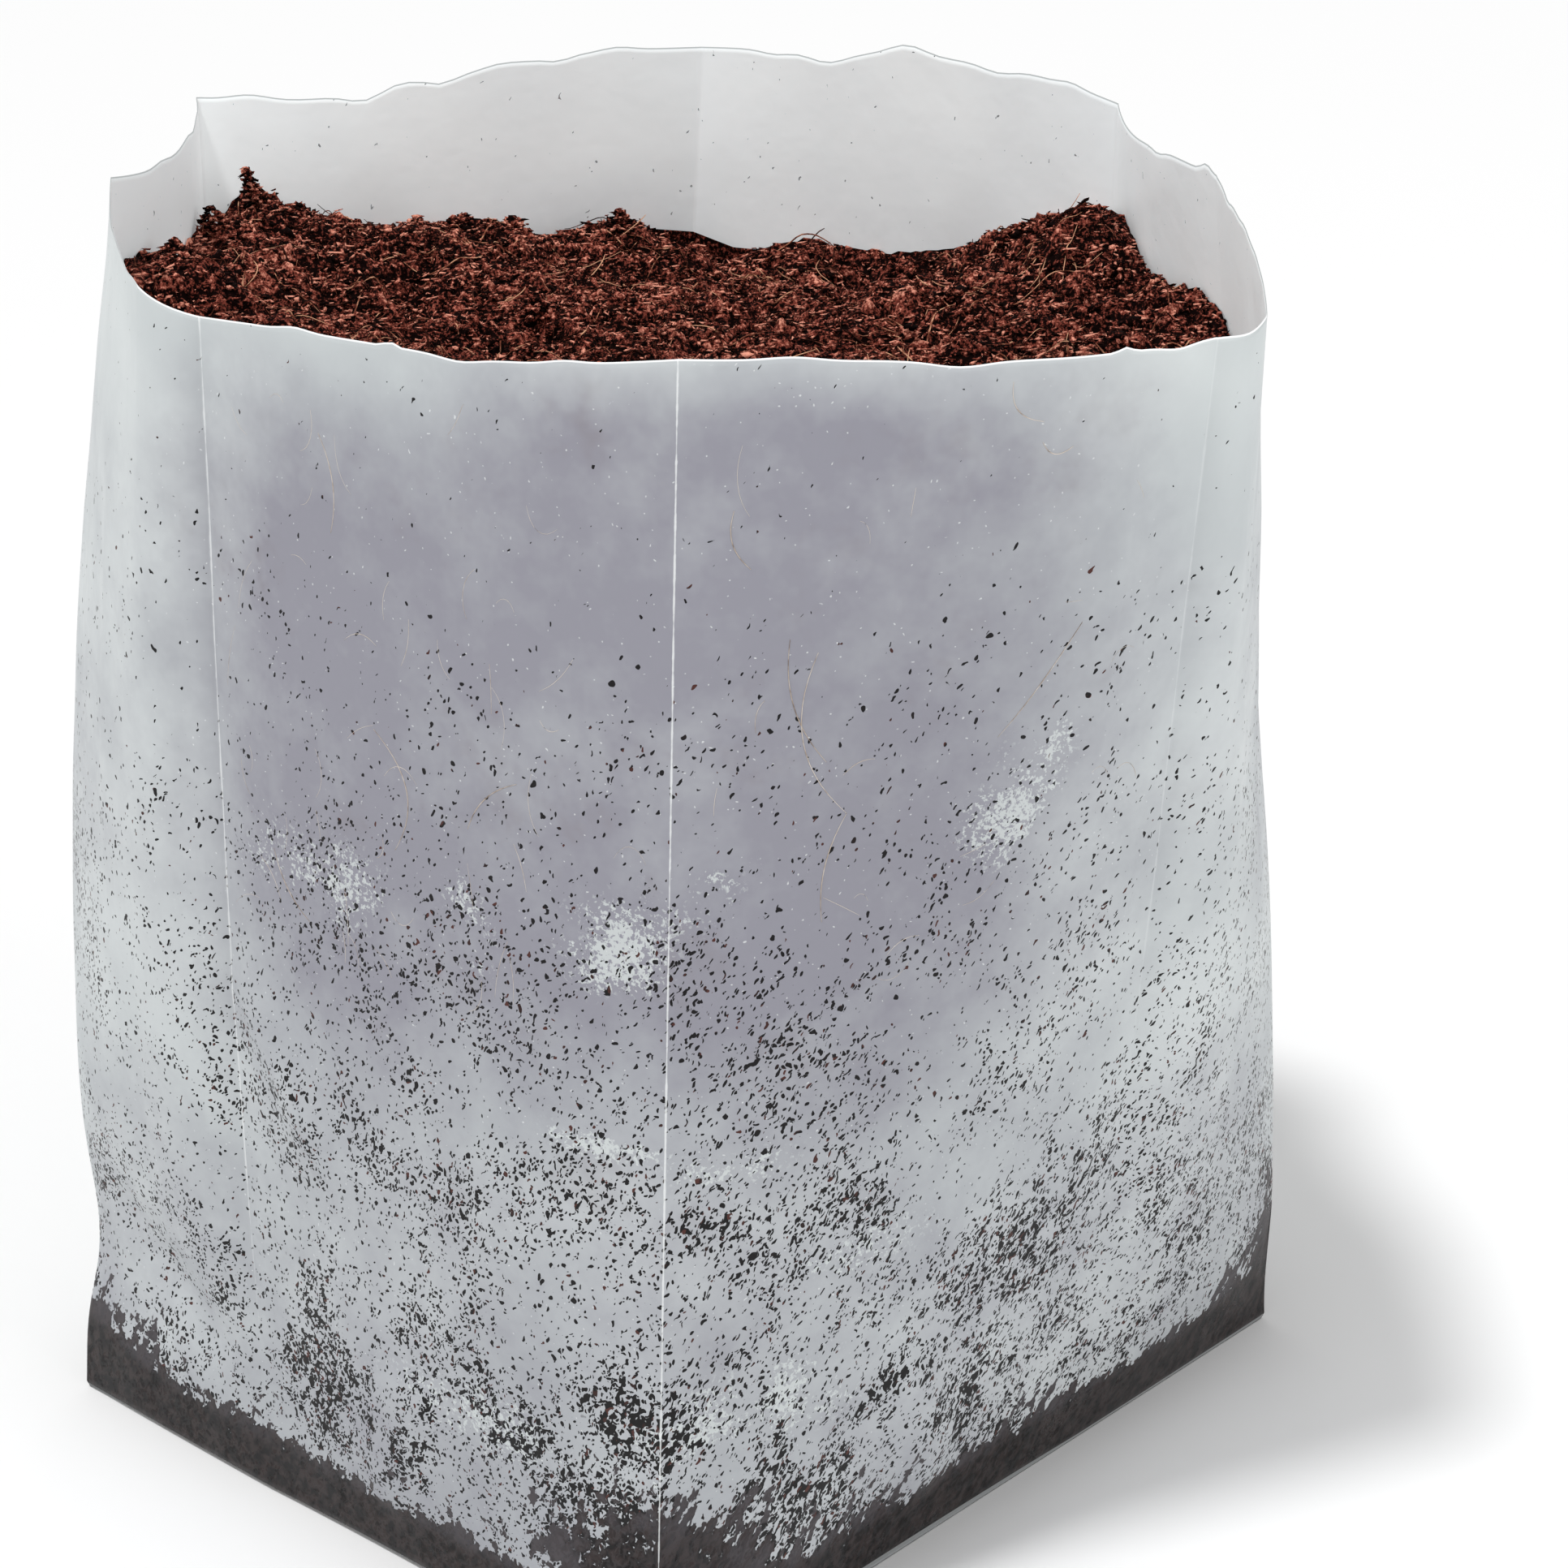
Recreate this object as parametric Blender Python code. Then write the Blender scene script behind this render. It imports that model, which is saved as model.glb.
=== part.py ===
"""An open bag of coir compost: a gusseted tube of milky film, closed across its foot and left
open at its mouth, and the loose fill that stands in it."""

import functools
import math

import bmesh
import bpy
from mathutils import Vector, geometry, noise

# Lengths in the tables are in millimetres and become metres with MM.
MM = 0.001

# The bag's main sizes, each free of the others.
FOOT_WIDTH = 279.0 * MM
FOOT_DEPTH = 279.5 * MM
MOUTH_WIDTH = 230.3 * MM
MOUTH_DEPTH = 260.9 * MM
BAG_HEIGHT = 285.8 * MM

# The film.
FILM_WALL = 0.15 * MM
FOOT_RADIUS = 1.0 * MM

# The fill stands this far off the film, so that the two solids never touch, and its lowest
# level lies this far below the highest point of the lip.
FILL_CLEARANCE = 0.30 * MM
HEAD_SPACE = 45.8 * MM

# Each crease runs from the foot to the mouth. Its columns are its place on the foot and on the
# mouth, both as shares of half their width and half their depth, how far its lip lies below the
# highest point, how far it swells outwards, the share of the height where it swells most, and
# how far it is drawn in just above the foot.
CREASES = {
    "front": (-0.0459, -0.9982, 0.0582, -1.0065, 0.5, 0.0, 0.50, 0.0),
    "front_right": (0.6581, -0.3242, 0.9344, -0.8333, 6.8, 1.0, 0.50, 0.0),
    "right_fore": (0.8717, -0.1195, 1.0204, -0.7850, 4.8, 3.0, 0.40, 0.0),
    "right": (1.0208, 0.0236, 1.0508, -0.1533, 0.0, 5.0, 0.35, 0.0),
    "back_right": (0.6753, 0.3564, 0.9631, 0.4454, 3.7, 4.0, 0.50, 0.0),
    "back": (0.0050, 1.0018, 0.1737, 0.9935, 4.6, 0.0, 0.50, 0.0),
    "back_left": (-0.6444, 0.3227, -0.8450, 0.7451, 5.1, 4.0, 0.50, 0.0),
    "left": (-0.9792, -0.0272, -0.9492, 0.1357, 2.5, 6.0, 0.52, 4.0),
    "left_fore": (-0.8394, -0.1732, -0.8493, -0.3856, 6.8, 4.0, 0.55, 3.0),
    "front_left": (-0.6523, -0.3671, -0.7399, -0.4515, 11.0, 1.0, 0.50, 0.0),
}

# The panel that follows each crease. Its columns are how far it bows outwards at the foot, at
# half height and at the mouth, how far its lip rises and ripples, and its number of facets.
PANELS = {
    "front": (-1.0, 7.0, 5.0, -1.0, 0.6, 11),
    "front_right": (0.0, 3.0, 2.0, 0.0, 0.0, 3),
    "right_fore": (0.0, 3.0, 2.0, 0.0, 0.4, 7),
    "right": (-1.0, 4.0, -4.0, -1.0, 0.8, 7),
    "back_right": (-1.0, 7.0, 5.0, 3.2, 1.0, 11),
    "back": (-1.0, 7.0, 1.0, -1.5, 2.2, 11),
    "back_left": (-1.0, 4.0, -6.0, -1.8, 1.2, 7),
    "left": (0.0, 3.0, 2.0, 0.0, -0.4, 7),
    "left_fore": (0.0, 3.0, 2.0, 0.0, 0.0, 4),
    "front_left": (-1.5, 7.0, 5.0, -1.0, 0.9, 11),
}

# The creases that were folded hard when the bag was flat.
HARD_CREASES = ("front", "back", "left", "right")

# Soft folds in the film. Each runs between two places, given by panel, share along the panel
# and share of the height, and then has its height and its half width.
FOLDS = (
    ("front_left", 0.03, 0.50, "front_left", 0.24, 0.33, 1.6, 7.0),
    ("front_left", 0.55, 0.46, "front", 0.30, 0.42, 1.3, 8.0),
    ("front_left", 0.30, 0.04, "front_left", 0.46, 0.20, 1.6, 8.0),
    ("front", 0.62, 0.04, "front", 0.48, 0.22, 1.6, 8.0),
    ("front", 0.84, 0.99, "front", 0.80, 0.62, 1.2, 7.0),
    ("left", 0.30, 0.22, "left_fore", 0.80, 0.10, -2.2, 8.0),
    ("left_fore", 0.50, 0.97, "left_fore", 0.60, 0.45, -1.4, 6.0),
    ("right_fore", 0.50, 0.97, "right_fore", 0.55, 0.45, -1.8, 9.0),
    ("right", 0.10, 0.05, "right", 0.45, 0.24, -1.8, 8.0),
    ("right", 0.55, 0.96, "right", 0.50, 0.40, -2.0, 10.0),
    ("back_right", 0.35, 0.92, "back_right", 0.42, 0.50, 1.6, 10.0),
    ("back_right", 0.75, 0.05, "back_right", 0.50, 0.26, 1.8, 9.0),
    ("back", 0.66, 0.95, "back", 0.58, 0.48, 1.6, 9.0),
    ("back", 0.25, 0.05, "back", 0.42, 0.24, 1.6, 9.0),
    ("back_left", 0.50, 0.97, "back_left", 0.55, 0.40, -2.0, 9.0),
    ("back_left", 0.80, 0.06, "back_left", 0.40, 0.22, 1.8, 9.0),
)

# Shares of the height at which the film has a ring of facets.
FILM_RINGS = (
    0.035, 0.085, 0.14, 0.20, 0.27, 0.34, 0.41, 0.48,
    0.55, 0.62, 0.69, 0.75, 0.80, 0.855, 0.90, 0.94, 0.975, 1.0,
)

# Where the fill is heaped or scooped: its place as shares of half the mouth's width and depth,
# the change of height, and its radius.
MOUNDS = (
    (-0.903, 0.184, 21.0, 38.0),
    (-0.712, 0.629, 17.0, 26.0),
    (-0.747, 0.759, 6.0, 7.0),
    (-0.417, 0.644, 7.0, 26.0),
    (-0.174, 0.307, 5.0, 30.0),
    (0.043, 0.905, 5.0, 14.0),
    (0.330, 0.767, -7.0, 26.0),
    (0.851, 0.475, 16.0, 26.0),
    (1.025, -0.031, 18.0, 36.0),
    (0.538, 0.153, 7.0, 32.0),
    (0.573, -0.445, 9.0, 40.0),
    (0.035, -0.567, 11.0, 46.0),
    (-0.538, -0.276, 12.0, 40.0),
    (-0.729, 0.644, 8.0, 5.0),
    (-0.808, 0.567, 5.0, 5.0),
    (0.017, 0.828, 5.0, 5.0),
    (0.747, 0.506, 5.0, 5.0),
)

# Clods on the fill's surface: their size across and their height.
CLODS = ((34.0 * MM, 4.5 * MM), (17.0 * MM, 4.0 * MM), (10.5 * MM, 3.2 * MM))
CLOD_PLACE = Vector((3.7, 1.9, 8.2))

# The fill's surface lies at most this far below its level, and its side has this many rings of
# facets from there up.
DEEPEST_SCOOP = 10.0 * MM
SIDE_PARTS = 3

# The spacing of the corners of the fill's surface.
SURFACE_CELL = 6.7 * MM

FILL_LEVEL = BAG_HEIGHT - HEAD_SPACE


def clear_scene():
    for thing in list(bpy.data.objects):
        bpy.data.objects.remove(thing, do_unlink=True)


def ease(value):
    """0 to 1 with a soft start and end."""
    value = min(max(value, 0.0), 1.0)
    return value * value * (3.0 - 2.0 * value)


def bell(value, centre, width):
    return math.exp(-(((value - centre) / width) ** 2))


def crease_point(name, share):
    """Where a crease is at this share of the height."""
    foot_x, foot_y, mouth_x, mouth_y, drop, swell, swell_at, waist = CREASES[name]
    foot = Vector((foot_x * FOOT_WIDTH / 2, foot_y * FOOT_DEPTH / 2, 0.0))
    mouth = Vector((mouth_x * MOUTH_WIDTH / 2, mouth_y * MOUTH_DEPTH / 2, BAG_HEIGHT - drop * MM))
    point = foot.lerp(mouth, share)
    held = ease(share / 0.12) * ease((1.0 - share) / 0.12)
    out = (swell * bell(share, swell_at, 0.33) - waist * bell(share, 0.14, 0.08)) * held
    return point + Vector((point.x, point.y, 0.0)).normalized() * (out * MM)


def panel_point(name, along, share):
    """A place on a panel before its folds, and the way that is outwards there."""
    names = list(CREASES)
    start = crease_point(name, share)
    end = crease_point(names[(names.index(name) + 1) % len(names)], share)
    foot_bow, middle_bow, mouth_bow, lift, ripple, _ = PANELS[name]
    bow = (
        foot_bow * (1.0 - share) ** 3
        + middle_bow * 4.0 * share * (1.0 - share)
        + mouth_bow * ease((share - 0.55) / 0.45)
    )
    hump = 4.0 * along * (1.0 - along)
    wave = lift * hump + ripple * math.sin(2.0 * math.pi * along)
    outwards = Vector((end.y - start.y, start.x - end.x, 0.0)).normalized()
    point = start.lerp(end, along) + outwards * (bow * hump * MM)
    point.z += wave * share**6 * MM
    return point, outwards


def fold_height(point):
    """How far the folds push the film outwards at a place."""
    total = 0.0
    for start, end, height, width in fold_lines():
        run = end - start
        part = min(max((point - start).dot(run) / run.length_squared, 0.0), 1.0)
        away = (point - start.lerp(end, part)).length
        fade = ease(part / 0.25) * ease((1.0 - part) / 0.25)
        total += height * MM * fade * bell(away, 0.0, width * MM)
    return total


@functools.cache
def fold_lines():
    lines = []
    for panel, along, share, end_panel, end_along, end_share, height, width in FOLDS:
        start, _ = panel_point(panel, along, share)
        end, _ = panel_point(end_panel, end_along, end_share)
        lines.append((start, end, height, width))
    return lines


def film_outline(share):
    """The film's outer outline at this share of the height, counter-clockwise from above."""
    points = []
    for name, panel in PANELS.items():
        for step in range(panel[-1]):
            point, outwards = panel_point(name, step / panel[-1], share)
            held = ease(share / 0.05)
            points.append(point + outwards * (fold_height(point) * held))
    return points


def inset(outline, distance):
    """The same outline moved inwards in plan by a distance, with its corners kept."""
    count = len(outline)
    moved = []
    for index, point in enumerate(outline):
        before = point - outline[index - 1]
        after = outline[(index + 1) % count] - point
        first = Vector((before.y, -before.x, 0.0)).normalized()
        second = Vector((after.y, -after.x, 0.0)).normalized()
        outwards = (first + second).normalized()
        moved.append(point - outwards * (distance / max(outwards.dot(first), 0.4)))
    return moved


def foot_rings(distance):
    """The rings that turn the wall into the floor with a small radius."""
    foot = film_outline(0.0)
    rings = []
    for turn in (0.0, 45.0, 90.0):
        angle = math.radians(turn)
        ring = inset(foot, distance + FOOT_RADIUS * (1.0 - math.sin(angle)))
        height = distance + FOOT_RADIUS * (1.0 - math.cos(angle))
        rings.append([Vector((point.x, point.y, height)) for point in ring])
    return rings


def loft(mesh, rings):
    """Skins a mesh over closed rings of the same count, and returns their vertices."""
    made = [[mesh.verts.new(point) for point in ring] for ring in rings]
    for lower, upper in zip(made, made[1:]):
        for index in range(len(lower)):
            after = (index + 1) % len(lower)
            mesh.faces.new((lower[index], lower[after], upper[after], upper[index]))
    return made


def close_floor(mesh, ring):
    mesh.faces.new(list(reversed(ring)))


def finish_object(name, mesh, material):
    bmesh.ops.recalc_face_normals(mesh, faces=mesh.faces[:])
    for face in mesh.faces:
        face.smooth = True
    data = bpy.data.meshes.new(name)
    mesh.to_mesh(data)
    mesh.free()
    data.materials.append(material)
    made = bpy.data.objects.new(name, data)
    bpy.context.scene.collection.objects.link(made)
    return made


def plain_material(name, colour, roughness, alpha=1.0):
    material = bpy.data.materials.new(name)
    material.use_nodes = True
    shader = material.node_tree.nodes["Principled BSDF"]
    shader.inputs["Base Color"].default_value = (*colour, 1.0)
    shader.inputs["Roughness"].default_value = roughness
    shader.inputs["Alpha"].default_value = alpha
    return material


def surface_height(x, y):
    """How high the fill stands at a place in plan."""
    height = FILL_LEVEL
    for share_x, share_y, rise, radius in MOUNDS:
        away_x = x - share_x * MOUTH_WIDTH / 2
        away_y = y - share_y * MOUTH_DEPTH / 2
        height += rise * MM * bell(math.hypot(away_x, away_y), 0.0, radius * MM)
    for size, rise in CLODS:
        place = Vector((x / size, y / size, 0.0)) + CLOD_PLACE
        height += rise * (2.0 * abs(noise.noise(place)) - 0.4)
    return height


def skin_surface(mesh, rim):
    """Covers the fill with evenly sized triangles, each corner at the surface's height."""
    edge = [Vector((vertex.co.x, vertex.co.y)) for vertex in rim]
    reach = max(point.length for point in edge)
    rows = int(reach / SURFACE_CELL / 0.866) + 1
    inside = []
    for row in range(-rows, rows + 1):
        for column in range(-rows, rows + 1):
            x = (column + 0.5 * (row % 2)) * SURFACE_CELL
            y = row * SURFACE_CELL * 0.866
            place = Vector((x, y))
            if clear_inside(place, edge, 0.6 * SURFACE_CELL):
                inside.append(place)
    count = len(edge)
    sides = [(index, (index + 1) % count) for index in range(count)]
    points, _, faces, origins, _, _ = geometry.delaunay_2d_cdt(edge + inside, sides, [], 1, 1e-7)
    corners = []
    for point, origin in zip(points, origins):
        if origin and origin[0] < count:
            corners.append(rim[origin[0]])
        else:
            corners.append(mesh.verts.new((point.x, point.y, surface_height(point.x, point.y))))
    for face in faces:
        mesh.faces.new([corners[index] for index in face])


def clear_inside(place, edge, margin):
    """Whether a place lies inside a closed outline and at least the margin away from it."""
    inside = False
    for index, start in enumerate(edge):
        end = edge[(index + 1) % len(edge)]
        near, _ = geometry.intersect_point_line(place, start, end)
        run = (end - start).length
        part = (near - start).dot(end - start) / run / run
        near = start.lerp(end, min(max(part, 0.0), 1.0))
        if (place - near).length < margin:
            return False
        if (start.y > place.y) != (end.y > place.y):
            cross = start.x + (place.y - start.y) / (end.y - start.y) * (end.x - start.x)
            if place.x < cross:
                inside = not inside
    return inside


def make_film():
    """The tube is lofted as a skin, its floor is closed, and a shell gives it its wall."""
    mesh = bmesh.new()
    rings = foot_rings(0.0) + [film_outline(share) for share in FILM_RINGS]
    made = loft(mesh, rings)
    close_floor(mesh, made[0])
    column = 0
    for name, panel in PANELS.items():
        if name in HARD_CREASES:
            line = [ring[column] for ring in made]
            for low, high in zip(line, line[1:]):
                mesh.edges.get((low, high)).smooth = False
        column += panel[-1]
    film = finish_object("film_bag", mesh, plain_material("milky_film", (0.62, 0.65, 0.66), 0.38, 0.55))
    shell = film.modifiers.new("wall", "SOLIDIFY")
    shell.thickness = FILM_WALL
    shell.offset = -1.0
    shell.use_even_offset = True
    shell.use_rim = True
    return film


def fill_wall_rings(distance):
    """The fill's side, ring by ring, up to where its surface meets the film."""
    base = (FILL_LEVEL - DEEPEST_SCOOP) / BAG_HEIGHT
    rings = [inset(film_outline(share), distance) for share in FILM_RINGS if share < base - 0.02]
    steps = 32
    guides = [
        inset(film_outline(base + (0.985 - base) * step / steps), distance)
        for step in range(steps + 1)
    ]
    lines = []
    for column in range(len(guides[0])):
        line = [guide[column] for guide in guides]
        last = next(
            (step for step, point in enumerate(line) if point.z >= surface_height(point.x, point.y)),
            steps,
        )
        lines.append(line[: max(last, 3) + 1])
    for part in range(SIDE_PARTS + 1):
        ring = []
        for line in lines:
            place = (len(line) - 1) * part / SIDE_PARTS
            low = min(int(place), len(line) - 2)
            ring.append(line[low].lerp(line[low + 1], place - low))
        rings.append(ring)
    return rings


def make_fill():
    """The fill follows the inside of the film, with a heaped surface of clods."""
    distance = FILM_WALL + FILL_CLEARANCE
    mesh = bmesh.new()
    made = loft(mesh, foot_rings(distance) + fill_wall_rings(distance))
    close_floor(mesh, made[0])
    skin_surface(mesh, made[-1])
    return finish_object("compost", mesh, plain_material("coir_compost", (0.075, 0.028, 0.018), 0.92))


clear_scene()
make_film()
make_fill()
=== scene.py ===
"""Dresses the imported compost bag: its milky film with creases, folds and the marks of the fill
behind it, the crumbly coir surface with loose crumbs and fibres, and a plain studio."""

import collections
import math
import random

import bpy
import numpy as np
from mathutils import Matrix, Vector, noise
from mathutils.bvhtree import BVHTree


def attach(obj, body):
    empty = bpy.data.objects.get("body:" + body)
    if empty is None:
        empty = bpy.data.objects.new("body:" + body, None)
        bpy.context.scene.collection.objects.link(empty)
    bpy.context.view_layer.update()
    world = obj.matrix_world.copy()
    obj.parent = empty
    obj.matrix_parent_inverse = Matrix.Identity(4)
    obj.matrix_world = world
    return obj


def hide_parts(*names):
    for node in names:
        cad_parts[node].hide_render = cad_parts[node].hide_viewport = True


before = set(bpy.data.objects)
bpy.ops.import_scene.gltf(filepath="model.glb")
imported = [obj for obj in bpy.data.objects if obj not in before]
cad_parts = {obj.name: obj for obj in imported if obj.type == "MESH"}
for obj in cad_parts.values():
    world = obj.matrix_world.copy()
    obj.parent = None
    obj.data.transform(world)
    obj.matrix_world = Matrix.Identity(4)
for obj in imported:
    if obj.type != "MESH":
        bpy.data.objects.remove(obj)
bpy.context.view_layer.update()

MM = 0.001

# The bag's sizes, as in the part's source.
FOOT_WIDTH = 279.0 * MM
FOOT_DEPTH = 279.5 * MM
MOUTH_WIDTH = 230.3 * MM
MOUTH_DEPTH = 260.9 * MM
BAG_HEIGHT = 285.8 * MM
FILM_WALL = 0.15 * MM
FOOT_RADIUS = 1.0 * MM
HEAD_SPACE = 45.8 * MM
FILL_LEVEL = BAG_HEIGHT - HEAD_SPACE

# Foot and mouth place of each crease as shares of the half sizes, drop of its lip, swell, where
# it swells most, and how far it is drawn in above the foot.
CREASES = {
    "front": (-0.0459, -0.9982, 0.0582, -1.0065, 0.5, 0, 0.5, 0),
    "front_right": (0.6581, -0.3242, 0.9344, -0.8333, 6.8, 1, 0.5, 0),
    "right_fore": (0.8717, -0.1195, 1.0204, -0.785, 4.8, 3, 0.4, 0),
    "right": (1.0208, 0.0236, 1.0508, -0.1533, 0, 5, 0.35, 0),
    "back_right": (0.6753, 0.3564, 0.9631, 0.4454, 3.7, 4, 0.5, 0),
    "back": (0.005, 1.0018, 0.1737, 0.9935, 4.6, 0, 0.5, 0),
    "back_left": (-0.6444, 0.3227, -0.845, 0.7451, 5.1, 4, 0.5, 0),
    "left": (-0.9792, -0.0272, -0.9492, 0.1357, 2.5, 6, 0.52, 4),
    "left_fore": (-0.8394, -0.1732, -0.8493, -0.3856, 6.8, 4, 0.55, 3),
    "front_left": (-0.6523, -0.3671, -0.7399, -0.4515, 11, 1, 0.5, 0),
}

# Bow of each panel at the foot, half height and mouth, lift and ripple of its lip, and the
# number of columns of the film's mesh.
PANELS = {
    "front": (-1, 7, 5, -1, 0.6, 72),
    "front_right": (0, 3, 2, 0, 0, 14),
    "right_fore": (0, 3, 2, 0, 0.4, 34),
    "right": (-1, 4, -4, -1, 0.8, 32),
    "back_right": (-1, 7, 5, 3.2, 1, 46),
    "back": (-1, 7, 1, -1.5, 2.2, 46),
    "back_left": (-1, 4, -6, -1.8, 1.2, 32),
    "left": (0, 3, 2, 0, -0.4, 30),
    "left_fore": (0, 3, 2, 0, 0, 16),
    "front_left": (-1.5, 7, 5, -1, 0.9, 72),
}

# Soft folds: panel, share along and share of height at both ends, height and half width, and
# the panel of the far end where that is another one.
FOLDS = (
    ("front_left", 0.03, 0.5, 0.24, 0.33, 1.6, 7), ("front_left", 0.55, 0.46, 0.3, 0.42, 1.3, 8, "front"),
    ("front_left", 0.3, 0.04, 0.46, 0.2, 1.6, 8), ("front", 0.62, 0.04, 0.48, 0.22, 1.6, 8),
    ("front", 0.84, 0.99, 0.8, 0.62, 1.2, 7), ("left", 0.3, 0.22, 0.8, 0.1, -2.2, 8, "left_fore"),
    ("left_fore", 0.5, 0.97, 0.6, 0.45, -1.4, 6), ("right_fore", 0.5, 0.97, 0.55, 0.45, -1.8, 9),
    ("right", 0.1, 0.05, 0.45, 0.24, -1.8, 8), ("right", 0.55, 0.96, 0.5, 0.4, -2, 10),
    ("back_right", 0.35, 0.92, 0.42, 0.5, 1.6, 10), ("back_right", 0.75, 0.05, 0.5, 0.26, 1.8, 9),
    ("back", 0.66, 0.95, 0.58, 0.48, 1.6, 9), ("back", 0.25, 0.05, 0.42, 0.24, 1.6, 9),
    ("back_left", 0.5, 0.97, 0.55, 0.4, -2, 9), ("back_left", 0.8, 0.06, 0.4, 0.22, 1.8, 9),
)

# Sharp small wrinkles that only the fine film has, given like the folds.
WRINKLES = (
    ("front_left", 0.02, 0.47, 0.21, 0.36, 0.55, 1.6), ("front_left", 0.05, 0.41, 0.13, 0.32, 0.45, 1.6),
    ("front", 0.84, 0.985, 0.8, 0.66, 0.75, 1.7), ("front", 0.93, 0.62, 0.925, 0.52, 0.8, 1.6),
    ("front_right", 0.4, 0.66, 0.42, 0.55, 0.45, 1.6), ("front_right", 0.7, 0.93, 0.6, 0.6, 0.4, 1.8),
    ("right_fore", 0.25, 0.9, 0.35, 0.52, 0.5, 2.2), ("left_fore", 0.4, 0.96, 0.55, 0.6, 0.45, 1.8),
    ("left", 0.7, 0.9, 0.75, 0.5, 0.5, 2.2), ("left", 0.4, 0.16, 0.9, 0.24, 0.6, 2.4, "left_fore"),
    ("front_left", 0.4, 0.45, 0.62, 0.42, 0.4, 2.2),
    ("front_left", 0.72, 0.445, 0.26, 0.425, 0.5, 2.4, "front"),
    ("front", 0.3, 0.3, 0.52, 0.26, 0.35, 2.4), ("front_left", 0.66, 0.24, 0.86, 0.3, 0.35, 2.4),
    ("back_right", 0.5, 0.8, 0.56, 0.35, 0.55, 2.4), ("back", 0.4, 0.85, 0.36, 0.4, 0.55, 2.4),
    ("back", 0.78, 0.6, 0.55, 0.3, 0.6, 2.6), ("back_left", 0.3, 0.9, 0.35, 0.5, 0.5, 2.2),
    ("right", 0.3, 0.88, 0.28, 0.45, 0.5, 2.2), ("right", 0.75, 0.7, 0.62, 0.3, 0.55, 2.4),
)

# Small rises and dips of the lip on each panel: share along, rise and half width.
LIP_WAVES = {
    "back": [
        (0.17, 0.8, 5), (0.29, -1, 4), (0.41, 0.9, 6), (0.52, -1, 3), (0.6, 1.1, 5),
        (0.68, -1.6, 5), (0.9, 1.2, 6),
    ],
    "back_right": [
        (0.83, -1, 5), (0.71, -2.4, 7), (0.52, 2.6, 7), (0.3, -1.4, 6), (0.12, 0.8, 4),
    ],
    "front_left": [(0.24, 0.7, 5), (0.455, 1.1, 1.4), (0.6, -0.9, 6), (0.8, 0.6, 5)],
    "front": [(0.2, 0.6, 6), (0.5, -1.1, 7), (0.815, 0.9, 1.6), (0.92, -0.8, 4)],
    "front_right": [(0.5, -0.8, 4)],
    "right_fore": [(0.6, 0.8, 5), (0.85, -1, 4)],
    "right": [(0.06, 1.6, 3), (0.4, -0.9, 5)],
    "left": [(0.55, 0.7, 4), (0.85, -0.8, 4)],
    "back_left": [(0.33, -1.4, 5), (0.7, 0.8, 5)],
}

CREASE_NAMES = list(CREASES)


# Shares of the height: how soon a crease is free of the foot and the lip, how far its swell
# reaches, where it is drawn in and how far, and from where up the mouth bows a panel.
FREE_OF_ENDS = 0.12
SWELL_REACH = 0.33
WAIST_AT = 0.14
WAIST_REACH = 0.08
MOUTH_BOW_FROM = 0.55
MOUTH_BOW_WAY = 0.45

# The share of a fold's length that fades at each end, and of the film's height that has no folds.
FOLD_FADE = 0.25
FOOT_HELD = 0.05


def ease(value):
    value = np.clip(value, 0.0, 1.0)
    return value * value * (3.0 - 2.0 * value)


def rising(value, start, way):
    """0 up to the start, then eased up to 1 over the way."""
    return ease((value - start) / way)


def falling(value, end, way):
    """1, then eased down to 0 over the way to the end."""
    return ease((end - value) / way)


def off_ends(part, way):
    """0 at both ends of a line and 1 between them."""
    return rising(part, 0.0, way) * falling(part, 1.0, way)


def arch(part):
    """0 at both ends of a line and 1 midway."""
    return 4.0 * part * (1.0 - part)


def bell(value, centre, width):
    return np.exp(-(((value - centre) / width) ** 2))


def unit(rows):
    return rows / np.maximum(np.linalg.norm(rows, axis=-1, keepdims=True), 1e-12)


def crease_points(name, share):
    """Where a crease is at each of these shares of the height."""
    foot_x, foot_y, mouth_x, mouth_y, drop, swell, swell_at, waist = CREASES[name]
    foot = np.array([foot_x * FOOT_WIDTH / 2, foot_y * FOOT_DEPTH / 2, 0.0])
    mouth = np.array([mouth_x * MOUTH_WIDTH / 2, mouth_y * MOUTH_DEPTH / 2, BAG_HEIGHT - drop * MM])
    point = foot + (mouth - foot) * share[..., None]
    out = swell * bell(share, swell_at, SWELL_REACH) - waist * bell(share, WAIST_AT, WAIST_REACH)
    out = out * off_ends(share, FREE_OF_ENDS) * MM
    flat = point.copy()
    flat[..., 2] = 0.0
    return point + unit(flat) * out[..., None]


def panel_points(name, along, share):
    """Places on a panel before its folds, and the way that is outwards there."""
    start = crease_points(name, share)
    end = crease_points(CREASE_NAMES[(CREASE_NAMES.index(name) + 1) % len(CREASE_NAMES)], share)
    foot_bow, middle_bow, mouth_bow, lift, ripple, _ = PANELS[name]
    bow = foot_bow * (1.0 - share) ** 3 + middle_bow * 4.0 * share * (1.0 - share)
    bow = bow + mouth_bow * rising(share, MOUTH_BOW_FROM, MOUTH_BOW_WAY)
    run = end - start
    reach = np.linalg.norm(run, axis=-1) / MM
    wave = lift * arch(along) + ripple * np.sin(2.0 * math.pi * along)
    for place, rise, width in LIP_WAVES.get(name, ()):
        wave = wave + rise * bell((along - place) * reach, 0.0, width)
    outwards = unit(np.stack([run[..., 1], -run[..., 0], np.zeros_like(share)], axis=-1))
    point = start + run * along[..., None] + outwards * (bow * arch(along) * MM)[..., None]
    point[..., 2] += wave * share**6 * MM
    return point, outwards


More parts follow.
